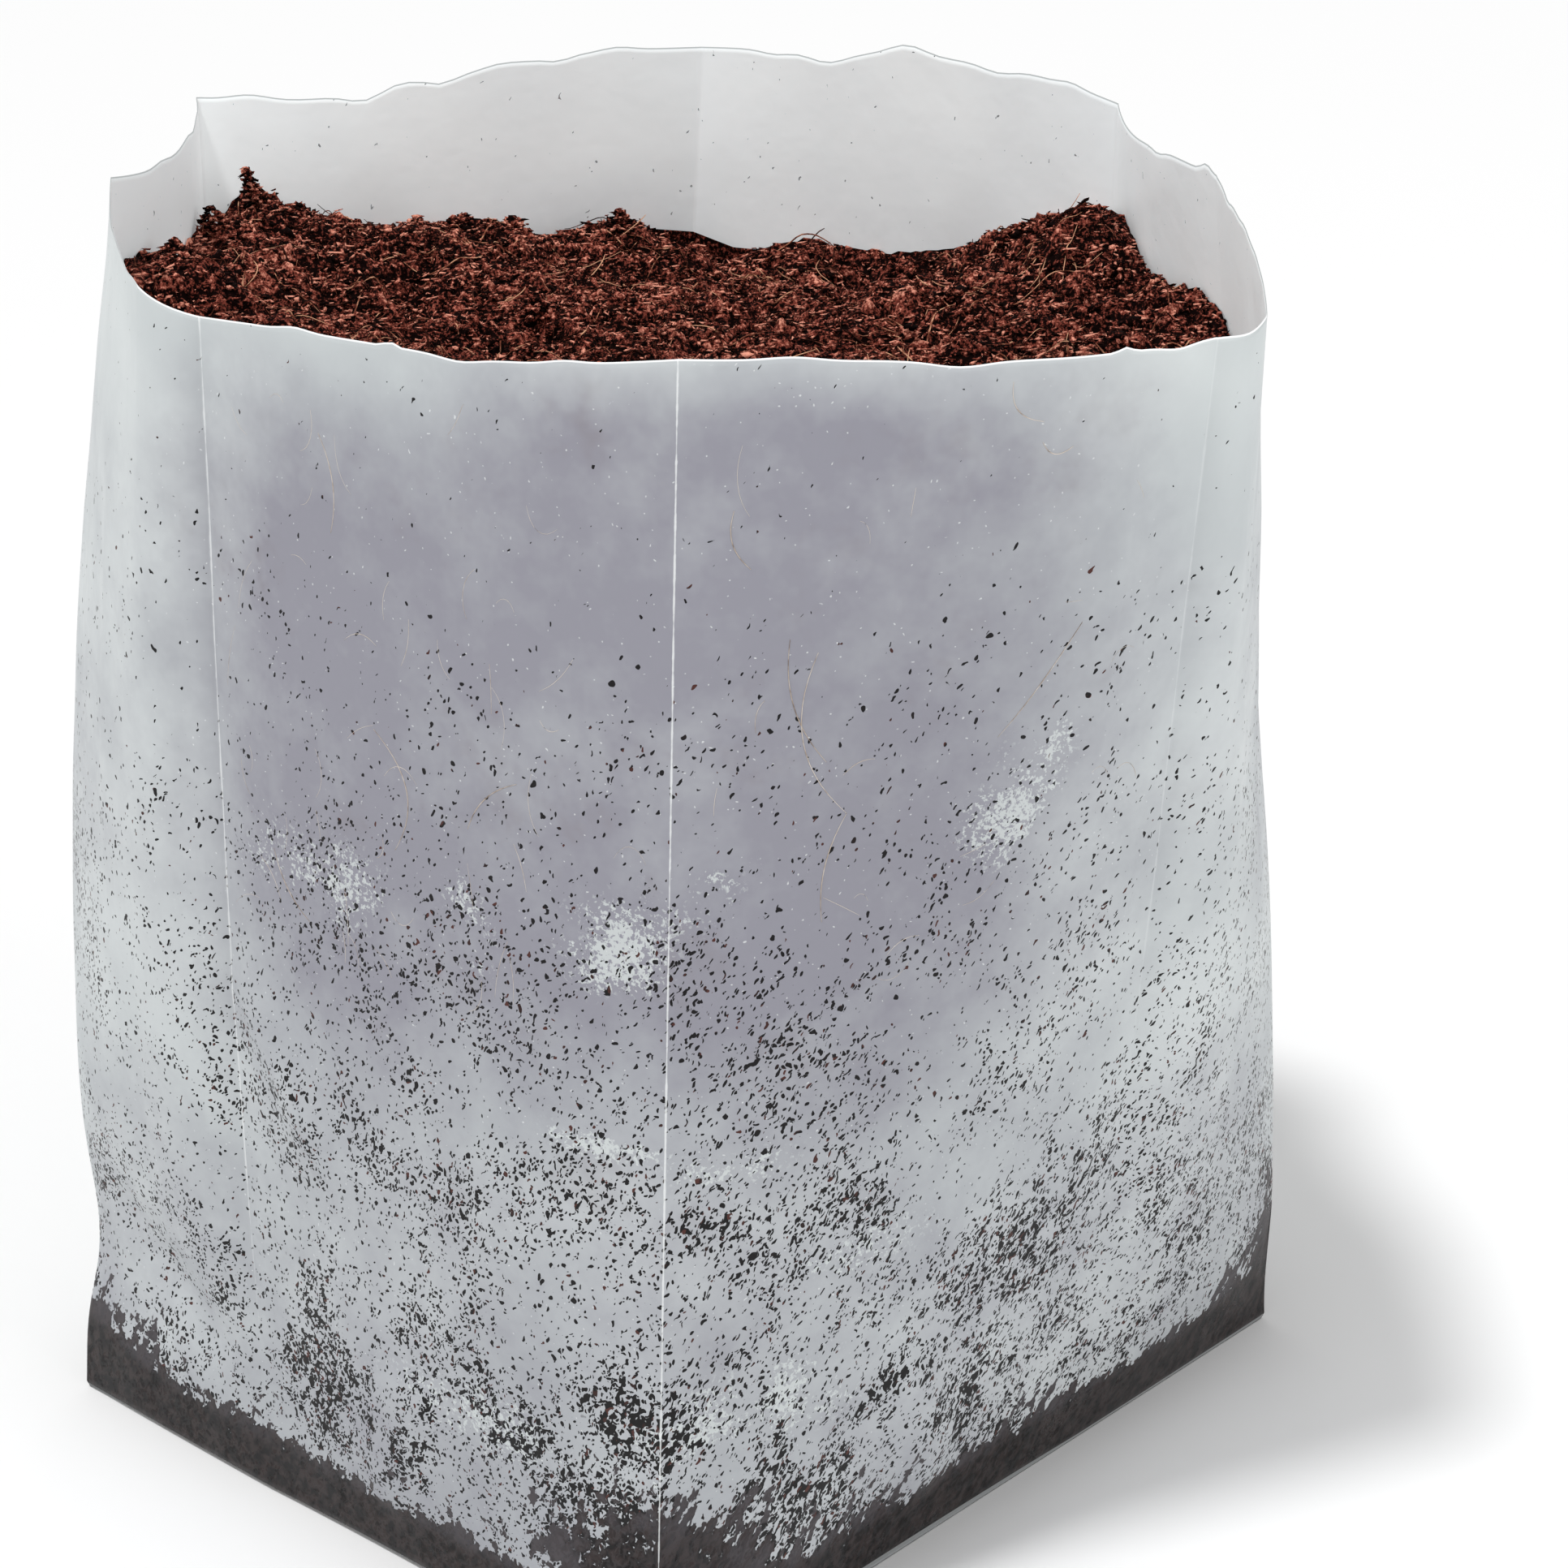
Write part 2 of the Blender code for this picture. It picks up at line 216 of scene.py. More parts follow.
def line_push(points, lines):
    """How far a set of folds pushes the film outwards at each place."""
    total = np.zeros(points.shape[:-1])
    for panel, along, share, end_along, end_share, height, width, *other in lines:
        start, _ = panel_points(panel, np.array(along), np.array(share))
        end_panel = other[0] if other else panel
        end, _ = panel_points(end_panel, np.array(end_along), np.array(end_share))
        run = end - start
        part = np.clip((points - start) @ run / (run @ run), 0.0, 1.0)
        away = np.linalg.norm(points - start - run * part[..., None], axis=-1)
        total += height * MM * off_ends(part, FOLD_FADE) * bell(away, 0.0, width * MM)
    return total


def film_place(name, along, share):
    """One place on the film's outer face."""
    point, outwards = panel_points(name, np.array(along), np.array(share))
    push = line_push(point, FOLDS) + line_push(point, WRINKLES)
    return Vector(point + outwards * push)


def set_mode(mode):
    bpy.ops.object.mode_set(mode=mode)


def fresh_selection():
    if bpy.context.mode != "OBJECT":
        set_mode("OBJECT")
    bpy.ops.object.select_all(action="DESELECT")


def add_object(name, data):
    added = bpy.data.objects.new(name, data)
    bpy.context.scene.collection.objects.link(added)
    return added


def finish_piece(piece, name, material, smooth=True):
    """Names a piece, gives it its finish and lets it ride on the part's one body."""
    piece.name = name
    piece.data.name = name
    piece.data.materials.clear()
    piece.data.materials.append(material)
    if smooth:
        piece.data.shade_smooth()
    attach(piece, "root")


def add_values(mesh, name, values):
    """Stores one number for each vertex, for the material to read."""
    layer = mesh.attributes.new(name, "FLOAT", "POINT")
    layer.data.foreach_set("value", np.ascontiguousarray(values, np.float32).ravel())


# Materials.

# The milky film's two tones, the same painted paler inside as painted light that stands in for light coming
# through, and a painted glow there.
FILM_TONES = ((0.520, 0.555, 0.560), (0.620, 0.655, 0.655))
INSIDE_PAINTED_LIGHT_TONES = ((0.780, 0.810, 0.820), (0.860, 0.885, 0.885))
INSIDE_PAINTED_GLOW = (0.180, 0.186, 0.188)

# What shows through the film: the fill's touch and stains, smears with some painted glints among them,
# beads of water, specks, and the wet foot with its haze.
TOUCH_COLOUR = (0.270, 0.268, 0.308)
STAIN_COLOUR = (0.205, 0.178, 0.190)
SMEAR_AND_GLINT_COLOUR = (0.62, 0.66, 0.65)
BEAD_COLOUR = (0.72, 0.74, 0.74)
SPECK_COLOURS = ((0.004, 0.003, 0.003), (0.070, 0.022, 0.017))
WET_COLOURS = ((0.004, 0.003, 0.003), (0.030, 0.021, 0.020))
HAZE_COLOUR = (0.072, 0.065, 0.072)

# Painted highlights along folded edges, and on the cut lip a painted shade line away from the front and a
# painted highlight on it.
CREASE_HIGHLIGHT_COLOUR = (0.80, 0.82, 0.82)
LIP_SHADE_AND_HIGHLIGHT_COLOURS = ((0.30, 0.32, 0.32), (0.92, 0.93, 0.93))

# Specks: cells to the metre in both layers, the worms and the bending of their places, how far
# that bends, slant and stretch, and the rims of specks and beads, with the beads' share of cells.
FINE_CELLS = 1150.0
MIDDLE_CELLS = 700.0
WORM_CELLS = 760.0
BEND_CELLS = 420.0
BEND = 0.0022
SLANT = (0.0, 0.62, 0.0)
STRETCH = (0.85, 1.0, 1.75)
SPECK_RIM = 0.06
BEAD_RIM = (0.08, 0.16)
BEAD_SHARE = 0.26

# Coir: colours in its gaps, on its crumbs and on their tips, and how fine its grit is. On the fill the
# tone follows the relief, so its near black gaps are painted shade and its pale tips painted highlight.
COIR_FINISHES = {
    "coir_crumbs": ((0.004, 0.001, 0.0008), (0.265, 0.060, 0.040), (0.94, 0.40, 0.28), 900.0),
    "coir_strands": ((0.030, 0.009, 0.006), (0.27, 0.085, 0.050), (0.74, 0.40, 0.24), 400.0),
    "pressed_strands": ((0.20, 0.15, 0.12), (0.46, 0.38, 0.31), (0.62, 0.56, 0.50), 300.0),
}


def new_material(name):
    material = bpy.data.materials.new(name)
    material.use_nodes = True
    return material, material.node_tree.nodes["Principled BSDF"], Nodes(material.node_tree)


class Nodes:
    """Adds shader nodes to one tree and joins them by name."""

    def __init__(self, tree):
        self.tree = tree

    def add(self, kind, inputs=None, **settings):
        node = self.tree.nodes.new("ShaderNode" + kind)
        for key, value in settings.items():
            setattr(node, key, value)
        self.feed(node, inputs or {})
        return node

    def feed(self, node, inputs):
        for key, value in inputs.items():
            self.give(node.inputs[key], value)

    def give(self, socket, value):
        if isinstance(value, bpy.types.NodeSocket):
            self.tree.links.new(value, socket)
        elif isinstance(value, bpy.types.Node):
            self.tree.links.new(value.outputs[0], socket)
        elif isinstance(value, (tuple, list)) and len(value) == 3 and len(socket.default_value) == 4:
            socket.default_value = (*value, 1.0)
        else:
            socket.default_value = value

    def math(self, operation, first, second, clamp=False):
        inputs = {0: first, 1: second}
        return self.add("Math", inputs, operation=operation, use_clamp=clamp).outputs[0]

    def times(self, first, second):
        return self.math("MULTIPLY", first, second)

    def plus(self, first, second, clamp=False):
        return self.math("ADD", first, second, clamp)

    def minus(self, first, second):
        return self.math("SUBTRACT", first, second)

    def swing(self, value, reach):
        """A noise about one half, made to swing about zero."""
        return self.times(self.minus(value, 0.5), reach)

    def value(self, name):
        return self.add("Attribute", attribute_name=name).outputs["Fac"]

    def place(self):
        return self.add("TexCoord").outputs["Object"]

    def noise(self, place, scale, detail, roughness):
        inputs = {"Vector": place, "Scale": scale, "Detail": detail, "Roughness": roughness}
        return self.add("TexNoise", inputs).outputs["Fac"]

    def step(self, value, low, high, to_low=0.0, to_high=1.0):
        """The value eased from one range into another."""
        inputs = {"Value": value, "From Min": low, "From Max": high, "To Min": to_low, "To Max": to_high}
        return self.add("MapRange", inputs, interpolation_type="SMOOTHSTEP").outputs[0]

    def mix(self, share, first, second):
        inputs = {0: share, 6: first, 7: second}
        return self.add("Mix", inputs, data_type="RGBA").outputs[2]

    def bump(self, shader, height, strength, distance):
        inputs = {"Height": height, "Strength": strength, "Distance": distance}
        self.feed(shader, {"Normal": self.add("Bump", inputs)})


def speck_layer(nodes, place, cells, density, low, high):
    """Specks: the share of cells that hold one follows the density. Beads lie in other cells."""
    inputs = {"Vector": place, "Scale": cells, "Randomness": 1.0}
    cell = nodes.add("TexVoronoi", inputs, feature="F1", distance="EUCLIDEAN")
    pick = nodes.add("SeparateColor", {"Color": cell.outputs["Color"]})
    held = nodes.math("LESS_THAN", pick.outputs[0], density)
    size = nodes.add("MapRange", {"Value": pick.outputs[1], "To Min": low, "To Max": high})
    edge = nodes.minus(size, cell.outputs["Distance"])
    specks = nodes.times(nodes.step(edge, 0.0, SPECK_RIM), held)
    bead = nodes.step(cell.outputs["Distance"], *BEAD_RIM, 1.0, 0.0)
    bead = nodes.times(bead, nodes.math("GREATER_THAN", pick.outputs[2], 1.0 - BEAD_SHARE))
    return specks, pick.outputs[2], bead


def make_film_material():
    material, shader, nodes = new_material("milky_film_dressed")
    place = nodes.place()

    # The milky film by itself, painted paler inside and given a painted glow there, standing in for the
    # light that comes through it.
    inside = nodes.value("inside")
    cloud = nodes.step(nodes.noise(place, 16.0, 2.0, 0.6), 0.3, 0.7)
    pale = nodes.mix(inside, nodes.mix(cloud, *FILM_TONES), nodes.mix(cloud, *INSIDE_PAINTED_LIGHT_TONES))
    # A painted glow: the inside faces glow though they are no lamp.
    painted_glow = nodes.mix(inside, (0.0, 0.0, 0.0), INSIDE_PAINTED_GLOW)
    nodes.feed(shader, {"Emission Color": painted_glow, "Emission Strength": 1.0})

    # The fill darkens it where it touches.
    contact = nodes.value("contact")
    mottle = nodes.noise(place, 42.0, 4.0, 0.68)
    uneven = nodes.times(nodes.swing(mottle, 0.9), nodes.step(contact, 0.0, 0.4))
    touch = nodes.plus(contact, uneven, clamp=True)
    gather = nodes.noise(place, 32.0, 4.0, 0.80)
    stain = nodes.times(nodes.step(gather, 0.54, 0.76), nodes.times(touch, 0.35))
    colour = nodes.mix(stain, nodes.mix(touch, pale, TOUCH_COLOUR), STAIN_COLOUR)

    # Whitish smears and fine scuffs, where moisture beads behind the film; some of the spots are painted
    # glints.
    smear_and_glint = nodes.times(nodes.value("smear_and_glint"), nodes.step(mottle, 0.42, 0.58, 0.10, 1.25))
    beads = nodes.plus(nodes.noise(place, 900.0, 2.0, 0.75), nodes.times(smear_and_glint, 0.20))
    beading = nodes.times(nodes.step(beads, 0.60, 0.70), nodes.step(smear_and_glint, 0.05, 0.45))
    colour = nodes.mix(nodes.times(beading, 0.70), colour, SMEAR_AND_GLINT_COLOUR)

    # Crumbs of the fill that press on the film, small and large, with beads of water between.
    bend = nodes.add("TexNoise", {"Vector": place, "Scale": BEND_CELLS, "Detail": 1.0})
    inputs = {0: bend.outputs["Color"], 1: (0.5, 0.5, 0.5)}
    bend = nodes.add("VectorMath", inputs, operation="SUBTRACT")
    bend = nodes.add("VectorMath", {0: bend, "Scale": BEND}, operation="SCALE")
    bent = nodes.add("VectorMath", {0: place, 1: bend}).outputs[0]
    inputs = {"Vector": bent, "Rotation": SLANT, "Scale": STRETCH}
    slanted = nodes.add("Mapping", inputs, vector_type="TEXTURE").outputs[0]
    density = nodes.times(nodes.value("specks"), nodes.step(inside, 0.0, 1.0, 1.0, 0.05))
    density = nodes.times(density, nodes.step(gather, 0.40, 0.63, 0.22, 1.62))
    share = nodes.times(density, 0.84)
    fine, tone, _ = speck_layer(nodes, slanted, FINE_CELLS, share, 0.28, 0.54)
    share = nodes.times(density, 0.50)
    middle, _, bead = speck_layer(nodes, bent, MIDDLE_CELLS, share, 0.16, 0.50)
    least = nodes.times(nodes.math("MINIMUM", density, 1.5), 0.170)
    worms = nodes.noise(slanted, WORM_CELLS, 1.0, 0.5)
    worms = nodes.minus(worms, nodes.minus(0.760, least))
    specks = nodes.math("MAXIMUM", fine, middle)
    specks = nodes.math("MAXIMUM", specks, nodes.step(worms, 0.0, 0.022))
    bead = nodes.times(bead, nodes.step(touch, 0.2, 0.5, 0.0, 0.65))
    colour = nodes.mix(bead, colour, BEAD_COLOUR)
    speck_colour = nodes.mix(nodes.step(tone, 0.90, 0.98), *SPECK_COLOURS)
    colour = nodes.mix(nodes.times(specks, 0.98), colour, speck_colour)

    # Wet fill in the foot, blotchy at its upper edge.
    wet = nodes.value("wet")
    blot = nodes.noise(slanted, 120.0, 4.0, 0.66)
    fine_blot = nodes.noise(slanted, 430.0, 2.0, 0.6)
    level = nodes.plus(nodes.plus(wet, nodes.swing(blot, 2.3)), nodes.swing(fine_blot, 1.6))
    soaked = nodes.times(nodes.step(level, 0.61, 0.68), nodes.step(wet, 0.02, 0.10))
    dark = nodes.mix(nodes.step(fine_blot, 0.35, 0.65), *WET_COLOURS)
    haze = nodes.times(nodes.step(wet, 1.35, 0.75), nodes.step(blot, 0.40, 0.62, 0.10, 0.65))
    dark = nodes.mix(haze, dark, HAZE_COLOUR)
    colour = nodes.mix(nodes.times(soaked, 0.97), colour, dark)

    # Painted highlights on the folded edges, and on the cut lip a painted highlight at the front and a
    # painted shade line elsewhere.
    away = nodes.plus(nodes.value("crease_away"), nodes.swing(blot, 0.8))
    edge_highlight = nodes.times(nodes.step(away, 0.04, 0.29, 1.0, 0.0), nodes.value("crease_highlight"))
    colour = nodes.mix(edge_highlight, colour, CREASE_HIGHLIGHT_COLOUR)
    lip_shade_and_highlight = nodes.step(nodes.value("lip_away"), 0.18, 0.42, 1.0, 0.0)
    colour = nodes.mix(lip_shade_and_highlight, colour, nodes.mix(nodes.value("front_side"), *LIP_SHADE_AND_HIGHLIGHT_COLOURS))
    rough = nodes.minus(nodes.step(mottle, 0.3, 0.7, 0.34, 0.48), nodes.times(soaked, 0.10))
    nodes.feed(shader, {"Base Color": colour, "Roughness": rough, "Specular IOR Level": 0.11})

    # Creasing of thin film: long soft streaks and small dents.
    drawn = nodes.add("Mapping", {"Vector": place, "Scale": (1.0, 1.0, 0.16)})
    streaks = nodes.noise(drawn, 70.0, 2.0, 0.6)
    dents = nodes.noise(place, 75.0, 3.0, 0.62)
    nodes.bump(shader, nodes.plus(nodes.times(streaks, 0.55), nodes.times(dents, 0.45)), 0.32, 0.0022)
    return material


def make_coir_material(name, dark, middle, light, grain):
    """Moist coir: red brown, near black where its tone is low and paler where it is high; on the fill these
    are painted shade in the gaps and painted highlight on the tips.
    """
    material, shader, nodes = new_material(name)
    grit = nodes.noise(nodes.place(), grain, 2.0, 0.75)
    tone = nodes.plus(nodes.value("tone"), nodes.swing(grit, 2.0))
    colour = nodes.mix(nodes.step(tone, 0.20, 0.60), dark, middle)
    colour = nodes.mix(nodes.step(tone, 0.49, 0.93), colour, light)
    nodes.feed(shader, {"Base Color": colour, "Roughness": 0.86, "Specular IOR Level": 0.04})
    nodes.bump(shader, grit, 0.5, 0.0006)
    return material


# The film.

FILM_ROWS = 114

# Slackness of the thin film: height in millimetres, and waves to the metre along each axis.
SLACK = ((0.75, (26, 26, 13)), (0.22, (75, 75, 40)))

# How far in it may go, and how much less from the fill's surface up.
SLACK_DEPTH = 2.0
SLACK_HELD_ABOVE = 1.8

# Soft spots on the film's front, in millimetres as seen from there: place, both radii and
# strength, for the fill's touch, the smears of moisture with some painted glints among them, and the wet
# foot.
TOUCHES = (
    (-62, 268, 24, 16, -0.3), (16, 274, 44, 14, 0.5), (-98, 262, 16, 22, -0.2), (108, 262, 12, 30, -0.2),
)
SMEARS_AND_GLINTS = (
    (-9, 167, 9, 8, 1.1), (7, 182, 10, 7, 0.9), (-68, 164, 14, 9, 0.8), (-38, 160, 6, 7, 0.8),
    # The spot at (70, 184) is a painted glint, not a smear.
    (-12, 125, 13, 2.4, 1), (70, 184, 10, 10, 0.9), (76, 200, 6, 6, 0.7), (20, 62, 26, 9, 1),
    (-40, 50, 20, 8, 0.7), (34, 92, 20, 7, 0.5), (13, 119.5, 13, 3, 0.8), (-37, 171, 4, 5, 0.7),
    (-4, 56, 9, 5, 0.9),
)
SOAKED = (
    (-5, 31, 22, 19, 1.15), (62, 22, 40, 15, 0.14), (-56, 46, 26, 12, 0.18),
)

# How many more specks lie below each height, and over what way that comes.
SPECK_RISES = ((0.12, 246, 40), (0.24, 196, 50), (0.4, 140, 46), (0.62, 90, 46))

# How high each corner of the foot is soaked, how far round it, and how much.
CORNER_HEIGHT = {"left": 36, "right": 56, "back": 34, "front": 30}
CORNER_REACH = 20.0
CORNER_WET = 0.72


def column_places(count):
    """Shares along a panel, closer together beside its creases."""
    even = np.arange(count) / count
    return 0.3 * even + 0.7 * ease(even)


def film_grid():
    """The outer face as rows of points, with the panel place of each column."""
    columns = [(name, place) for name, panel in PANELS.items() for place in column_places(panel[-1])]
    shares = np.linspace(0.0, 1.0, FILM_ROWS)
    shares = 0.5 * (shares + ease(shares))
    grid = np.zeros((FILM_ROWS, len(columns), 3))
    outwards = np.zeros_like(grid)
    start = 0
    for name, panel in PANELS.items():
        end = start + panel[-1]
        share, along = np.meshgrid(shares, column_places(panel[-1]), indexing="ij")
        grid[:, start:end], outwards[:, start:end] = panel_points(name, along, share)
        start = end
    push = (line_push(grid, FOLDS) + line_push(grid, WRINKLES)) * rising(shares, 0.0, FOOT_HELD)[:, None]
    grid += outwards * push[..., None]
    return columns, shares, grid


def noise_over(points, scale):
    """Smooth noise at each point, with so many waves to the metre."""
    values = [noise.noise(Vector(place)) for place in (points * scale).reshape(-1, 3)]
    return np.array(values).reshape(points.shape[:-1])


def small_waves(grid, shares):
    """Shallow random slackness of thin film, none at the foot."""
    waves = sum(height * noise_over(grid, scale) for height, scale in SLACK) * MM
    above = rising(grid[..., 2], 205.0 * MM, 20.0 * MM)
    waves = np.maximum(waves, -SLACK_DEPTH * MM + SLACK_HELD_ABOVE * MM * above)
    return waves * rising(shares, 0.0, 0.10)[:, None]


def spots(x, z, rows):
    """Soft spots added up at places in millimetres, as seen from the front."""
    total = np.zeros_like(x)
    for centre_x, centre_z, radius_x, radius_z, strength in rows:
        away = ((x - centre_x) / radius_x) ** 2 + ((z - centre_z) / radius_z) ** 2
        total += strength * np.exp(-away)
    return total


def facing_front(grid):
    """1 on the film that faces the front, 0 on its back and sides."""
    run = unit(np.roll(grid, -1, axis=1) - np.roll(grid, 1, axis=1))
    return rising(run[..., 0], 0.05, 0.5)


def film_marks(grid):
    """How the fill shows through the film at each point."""
    x, y, height = (grid[..., axis] / MM for axis in range(3))
    facing = facing_front(grid)
    turned_away = 1.0 - facing
    wide = noise_over(grid, 17.0)

    front = (0.30 + 0.70 * rising(x, -112.0, 45.0)) * (1.0 - 0.80 * rising(x, 38.0, 88.0))
    front = front * falling(height, 290.0, 34.0) * (0.56 + 0.44 * rising(height, 112.0, 56.0))
    front = front * (1.0 + 0.25 * wide)
    front = np.maximum(front, 0.52 * falling(height, 138.0, 62.0) * (0.9 + 0.3 * wide))
    front = front + spots(x, height, TOUCHES)
    around = 0.42 * rising(height, 70.0, 70.0) * falling(height, 262.0, 40.0) * (0.8 + 1.2 * wide)

    specks = sum(rise * falling(height, top, way) for rise, top, way in SPECK_RISES)
    specks = specks * (0.66 + 0.40 * facing * bell(x, 2.0, 75.0) + 0.5 * wide)

    # Whitish smears all round, and on the front the listed spots, some of them painted glints.
    smear_and_glint = turned_away * 0.8 * rising(wide, 0.15, 0.25) * falling(height, 230.0, 40.0)
    smear_and_glint += facing * spots(x, height, SMEARS_AND_GLINTS)

    # The fold along the foot is soaked all round, more so at the corners.
    wet = 0.95 * falling(height, 20.5, 12.0) + 0.50 * falling(height, 42.0, 34.0)
    for name, top in CORNER_HEIGHT.items():
        corner = crease_points(name, np.array(0.0)) / MM
        near = bell(np.hypot(x - corner[0], y - corner[1]), 0.0, CORNER_REACH)
        wet += CORNER_WET * near * falling(height, top, CORNER_REACH)
    wet += facing * spots(x, height, SOAKED) + turned_away * 0.35 * falling(height, 30.0, 26.0)
    return {
        "contact": np.clip(front * facing + around * turned_away, 0.0, 1.0),
        "specks": np.clip(specks, 0.0, 1.6),
        "smear_and_glint": np.clip(smear_and_glint, 0.0, 1.0),
        "wet": np.clip(wet, 0.0, 1.6),
        "front_side": facing,
    }


# How brightly the painted highlight on each folded edge shows, and the height share below which it fades.
CREASE_HIGHLIGHTS = {
    "front": (0.74, 0), "front_left": (0.58, 0.24), "left": (0.25, 0.3), "right": (0.25, 0.3),
    "back": (0.45, 0.3), "back_left": (0.25, 0.4), "back_right": (0.25, 0.4),
    "front_right": (0.2, 0.45),
}


def crease_marks(grid, columns, shares):
    """Millimetres to the nearest folded edge and how brightly its painted highlight shows."""
    steps = np.linalg.norm(np.roll(grid, -1, axis=1) - grid, axis=2) / MM
    along = np.concatenate([np.zeros((len(grid), 1)), np.cumsum(steps, axis=1)], axis=1)
    loop = along[:, -1:]
    along = along[:, :-1]
    away = np.full(along.shape, 99.0)
    highlight_strength = np.zeros(along.shape)
    for name, (strength, fades) in CREASE_HIGHLIGHTS.items():
        index = columns.index((name, 0.0))
        gap = np.abs(along - along[:, index : index + 1])
        gap = np.minimum(gap, loop - gap)
        fade = ease((shares - fades + 0.12) / 0.24)[:, None] if fades else 1.0
        nearer = gap < away
        highlight_strength = np.where(nearer, strength * fade * np.ones_like(gap), highlight_strength)
        away = np.minimum(away, gap)
    return away, highlight_strength


def make_film(material):
    columns, shares, grid = film_grid()
    across = unit(np.roll(grid, -1, axis=1) - np.roll(grid, 1, axis=1))
    out = unit(np.stack([across[..., 1], -across[..., 0], np.zeros(across.shape[:2])], axis=-1))
    slack = small_waves(grid, shares)
    grid = grid + out * slack[..., None]
    turn = np.clip(grid[..., 2] / FOOT_RADIUS, 0.0, 1.0)
    grid = grid - out * (FOOT_RADIUS * (1.0 - np.sqrt(np.maximum(1.0 - (1.0 - turn) ** 2, 0.0))))[..., None]
    marks = film_marks(grid)
    marks["crease_away"], marks["crease_highlight"] = crease_marks(grid, columns, shares)
    marks["lip_away"] = (grid[-1:, :, 2] - grid[:, :, 2]) / MM

    fresh_selection()
    bpy.ops.mesh.primitive_circle_add(vertices=len(columns), radius=FOOT_WIDTH / 2, fill_type="NOTHING")
    film = bpy.context.active_object
    set_mode("EDIT")
    rise = BAG_HEIGHT / (FILM_ROWS - 1)
    for _ in range(FILM_ROWS - 1):
        bpy.ops.mesh.extrude_region_move(TRANSFORM_OT_translate={"value": (0.0, 0.0, rise)})
    set_mode("OBJECT")
    mesh = film.data
    mesh.vertices.foreach_set("co", grid.astype(np.float32).ravel())
    for name, values in marks.items():
        add_values(mesh, name, values)

    # The floor closes the foot, and a shell gives the film its thickness.
    set_mode("EDIT")
    bpy.ops.mesh.select_all(action="DESELECT")
    set_mode("OBJECT")
    foot = len(columns)
    for vertex in mesh.vertices[:foot]:
        vertex.select = True
    for edge in mesh.edges:
        edge.select = edge.vertices[0] < foot and edge.vertices[1] < foot
    set_mode("EDIT")
    bpy.ops.mesh.edge_face_add()
    bpy.ops.mesh.select_all(action="SELECT")
    bpy.ops.mesh.normals_make_consistent(inside=False)
    set_mode("OBJECT")
    shell = film.modifiers.new("wall", "SOLIDIFY")
    shell.thickness = FILM_WALL
    shell.offset = -1.0
    shell.use_even_offset = True
    bpy.ops.object.modifier_apply(modifier="wall")
    for vertex in mesh.vertices:
        vertex.co.z = max(vertex.co.z, 0.0)
    add_values(mesh, "inside", np.arange(len(mesh.vertices)) >= len(columns) * FILM_ROWS)
    finish_piece(film, "film", material)
    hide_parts("film_bag")
    return film, grid, shares


# The fill.

def merged_copy(node):
    """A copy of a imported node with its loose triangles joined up."""
    copy = node.copy()
    copy.data = node.data.copy()
    for key in list(copy.keys()):
        del copy[key]
    bpy.context.scene.collection.objects.link(copy)
    copy.hide_render = False
    copy.hide_viewport = False
    fresh_selection()
    copy.select_set(True)
    bpy.context.view_layer.objects.active = copy
    set_mode("EDIT")
    bpy.ops.mesh.select_all(action="SELECT")
    bpy.ops.mesh.remove_doubles(threshold=1e-6)
    set_mode("OBJECT")
    return copy


# Where the crumbly surface lies lower or higher than the solid's: place, depth and radius.
HOLLOWS = (
    (0, 0, 1.2, 400), (17, 122, 10, 12), (62, 82, 8.5, 15), (86, 60, 4.5, 15), (-66, 92, 3.5, 16),
    (-91, 77, 5, 14), (103, 38, -13, 15), (-104, 60, -1.5, 16), (-32, 100, -3.5, 16),
)

# Layers of the crumbly surface, size and rise, and how far what is there is shifted sideways.
CRUMB_LAYERS = ((7, 2), (3.4, 1.7), (1.9, 1.2))
CRUMB_SHIFT = 1.5
SHIFT_SIZE = 3.4

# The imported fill's top: how steep its faces are, how high they lie and how finely they are cut.
TOP_FACING = 0.35
TOP_FROM = 0.7 * FILL_LEVEL
TOP_CUTS = 6

# What is nearer the film than this is tested against it, and what each keeps off it.
NEAR_FILM = 6.0 * MM
RIM_PULL = 1.1 * MM
RIM_GAP = 0.35 * MM
CRUMB_GAP = 0.1 * MM
FIBRE_GAP = 1.2 * MM


def sink(point):
    """How many millimetres the surface is let down at a place."""
    total = 0.0
    for x, y, depth, radius in HOLLOWS:
        away = math.hypot(point[0] / MM - x, point[1] / MM - y)
        total += depth * math.exp(-((away / radius) ** 2))
    return total


def crumble(points, edge_distance):
    """How far each point of the fill's surface is moved, and its tone, which follows the relief: painted
    shade low in the gaps and painted highlight on the tips.
    """
    moves = np.zeros_like(points)
    tone = np.zeros(len(points))
    for index, point in enumerate(points):
        held = min(1.0, 0.25 + edge_distance[index] / (3.0 * MM))
        total = 0.0
        for size, rise in CRUMB_LAYERS:
            place = Vector(point) / (size * MM)
            total += rise * (1.6 * abs(noise.noise(place + Vector((size, 0.0, 0.0)))) - 0.36)
        side = noise.noise_vector(Vector(point) / (SHIFT_SIZE * MM)) * (CRUMB_SHIFT * MM)
        moves[index] = (side.x * held, side.y * held, (total * held - sink(point)) * MM)
        # Painted shade and highlight: the tone is darker in the relief's gaps and paler on its tips.
        tone[index] = 0.24 + 0.17 * total
    return moves, tone


def outline_distance(points, wall):
    """How far each point is from the film, in plan."""
    best = np.full(len(points), 1.0)
    for start, end in zip(wall, np.roll(wall, -1, axis=0)):
        run = end - start
        part = np.clip((points - start) @ run / max(run @ run, 1e-12), 0.0, 1.0)
        best = np.minimum(best, np.linalg.norm(points - start - part[:, None] * run, axis=1))
    return best


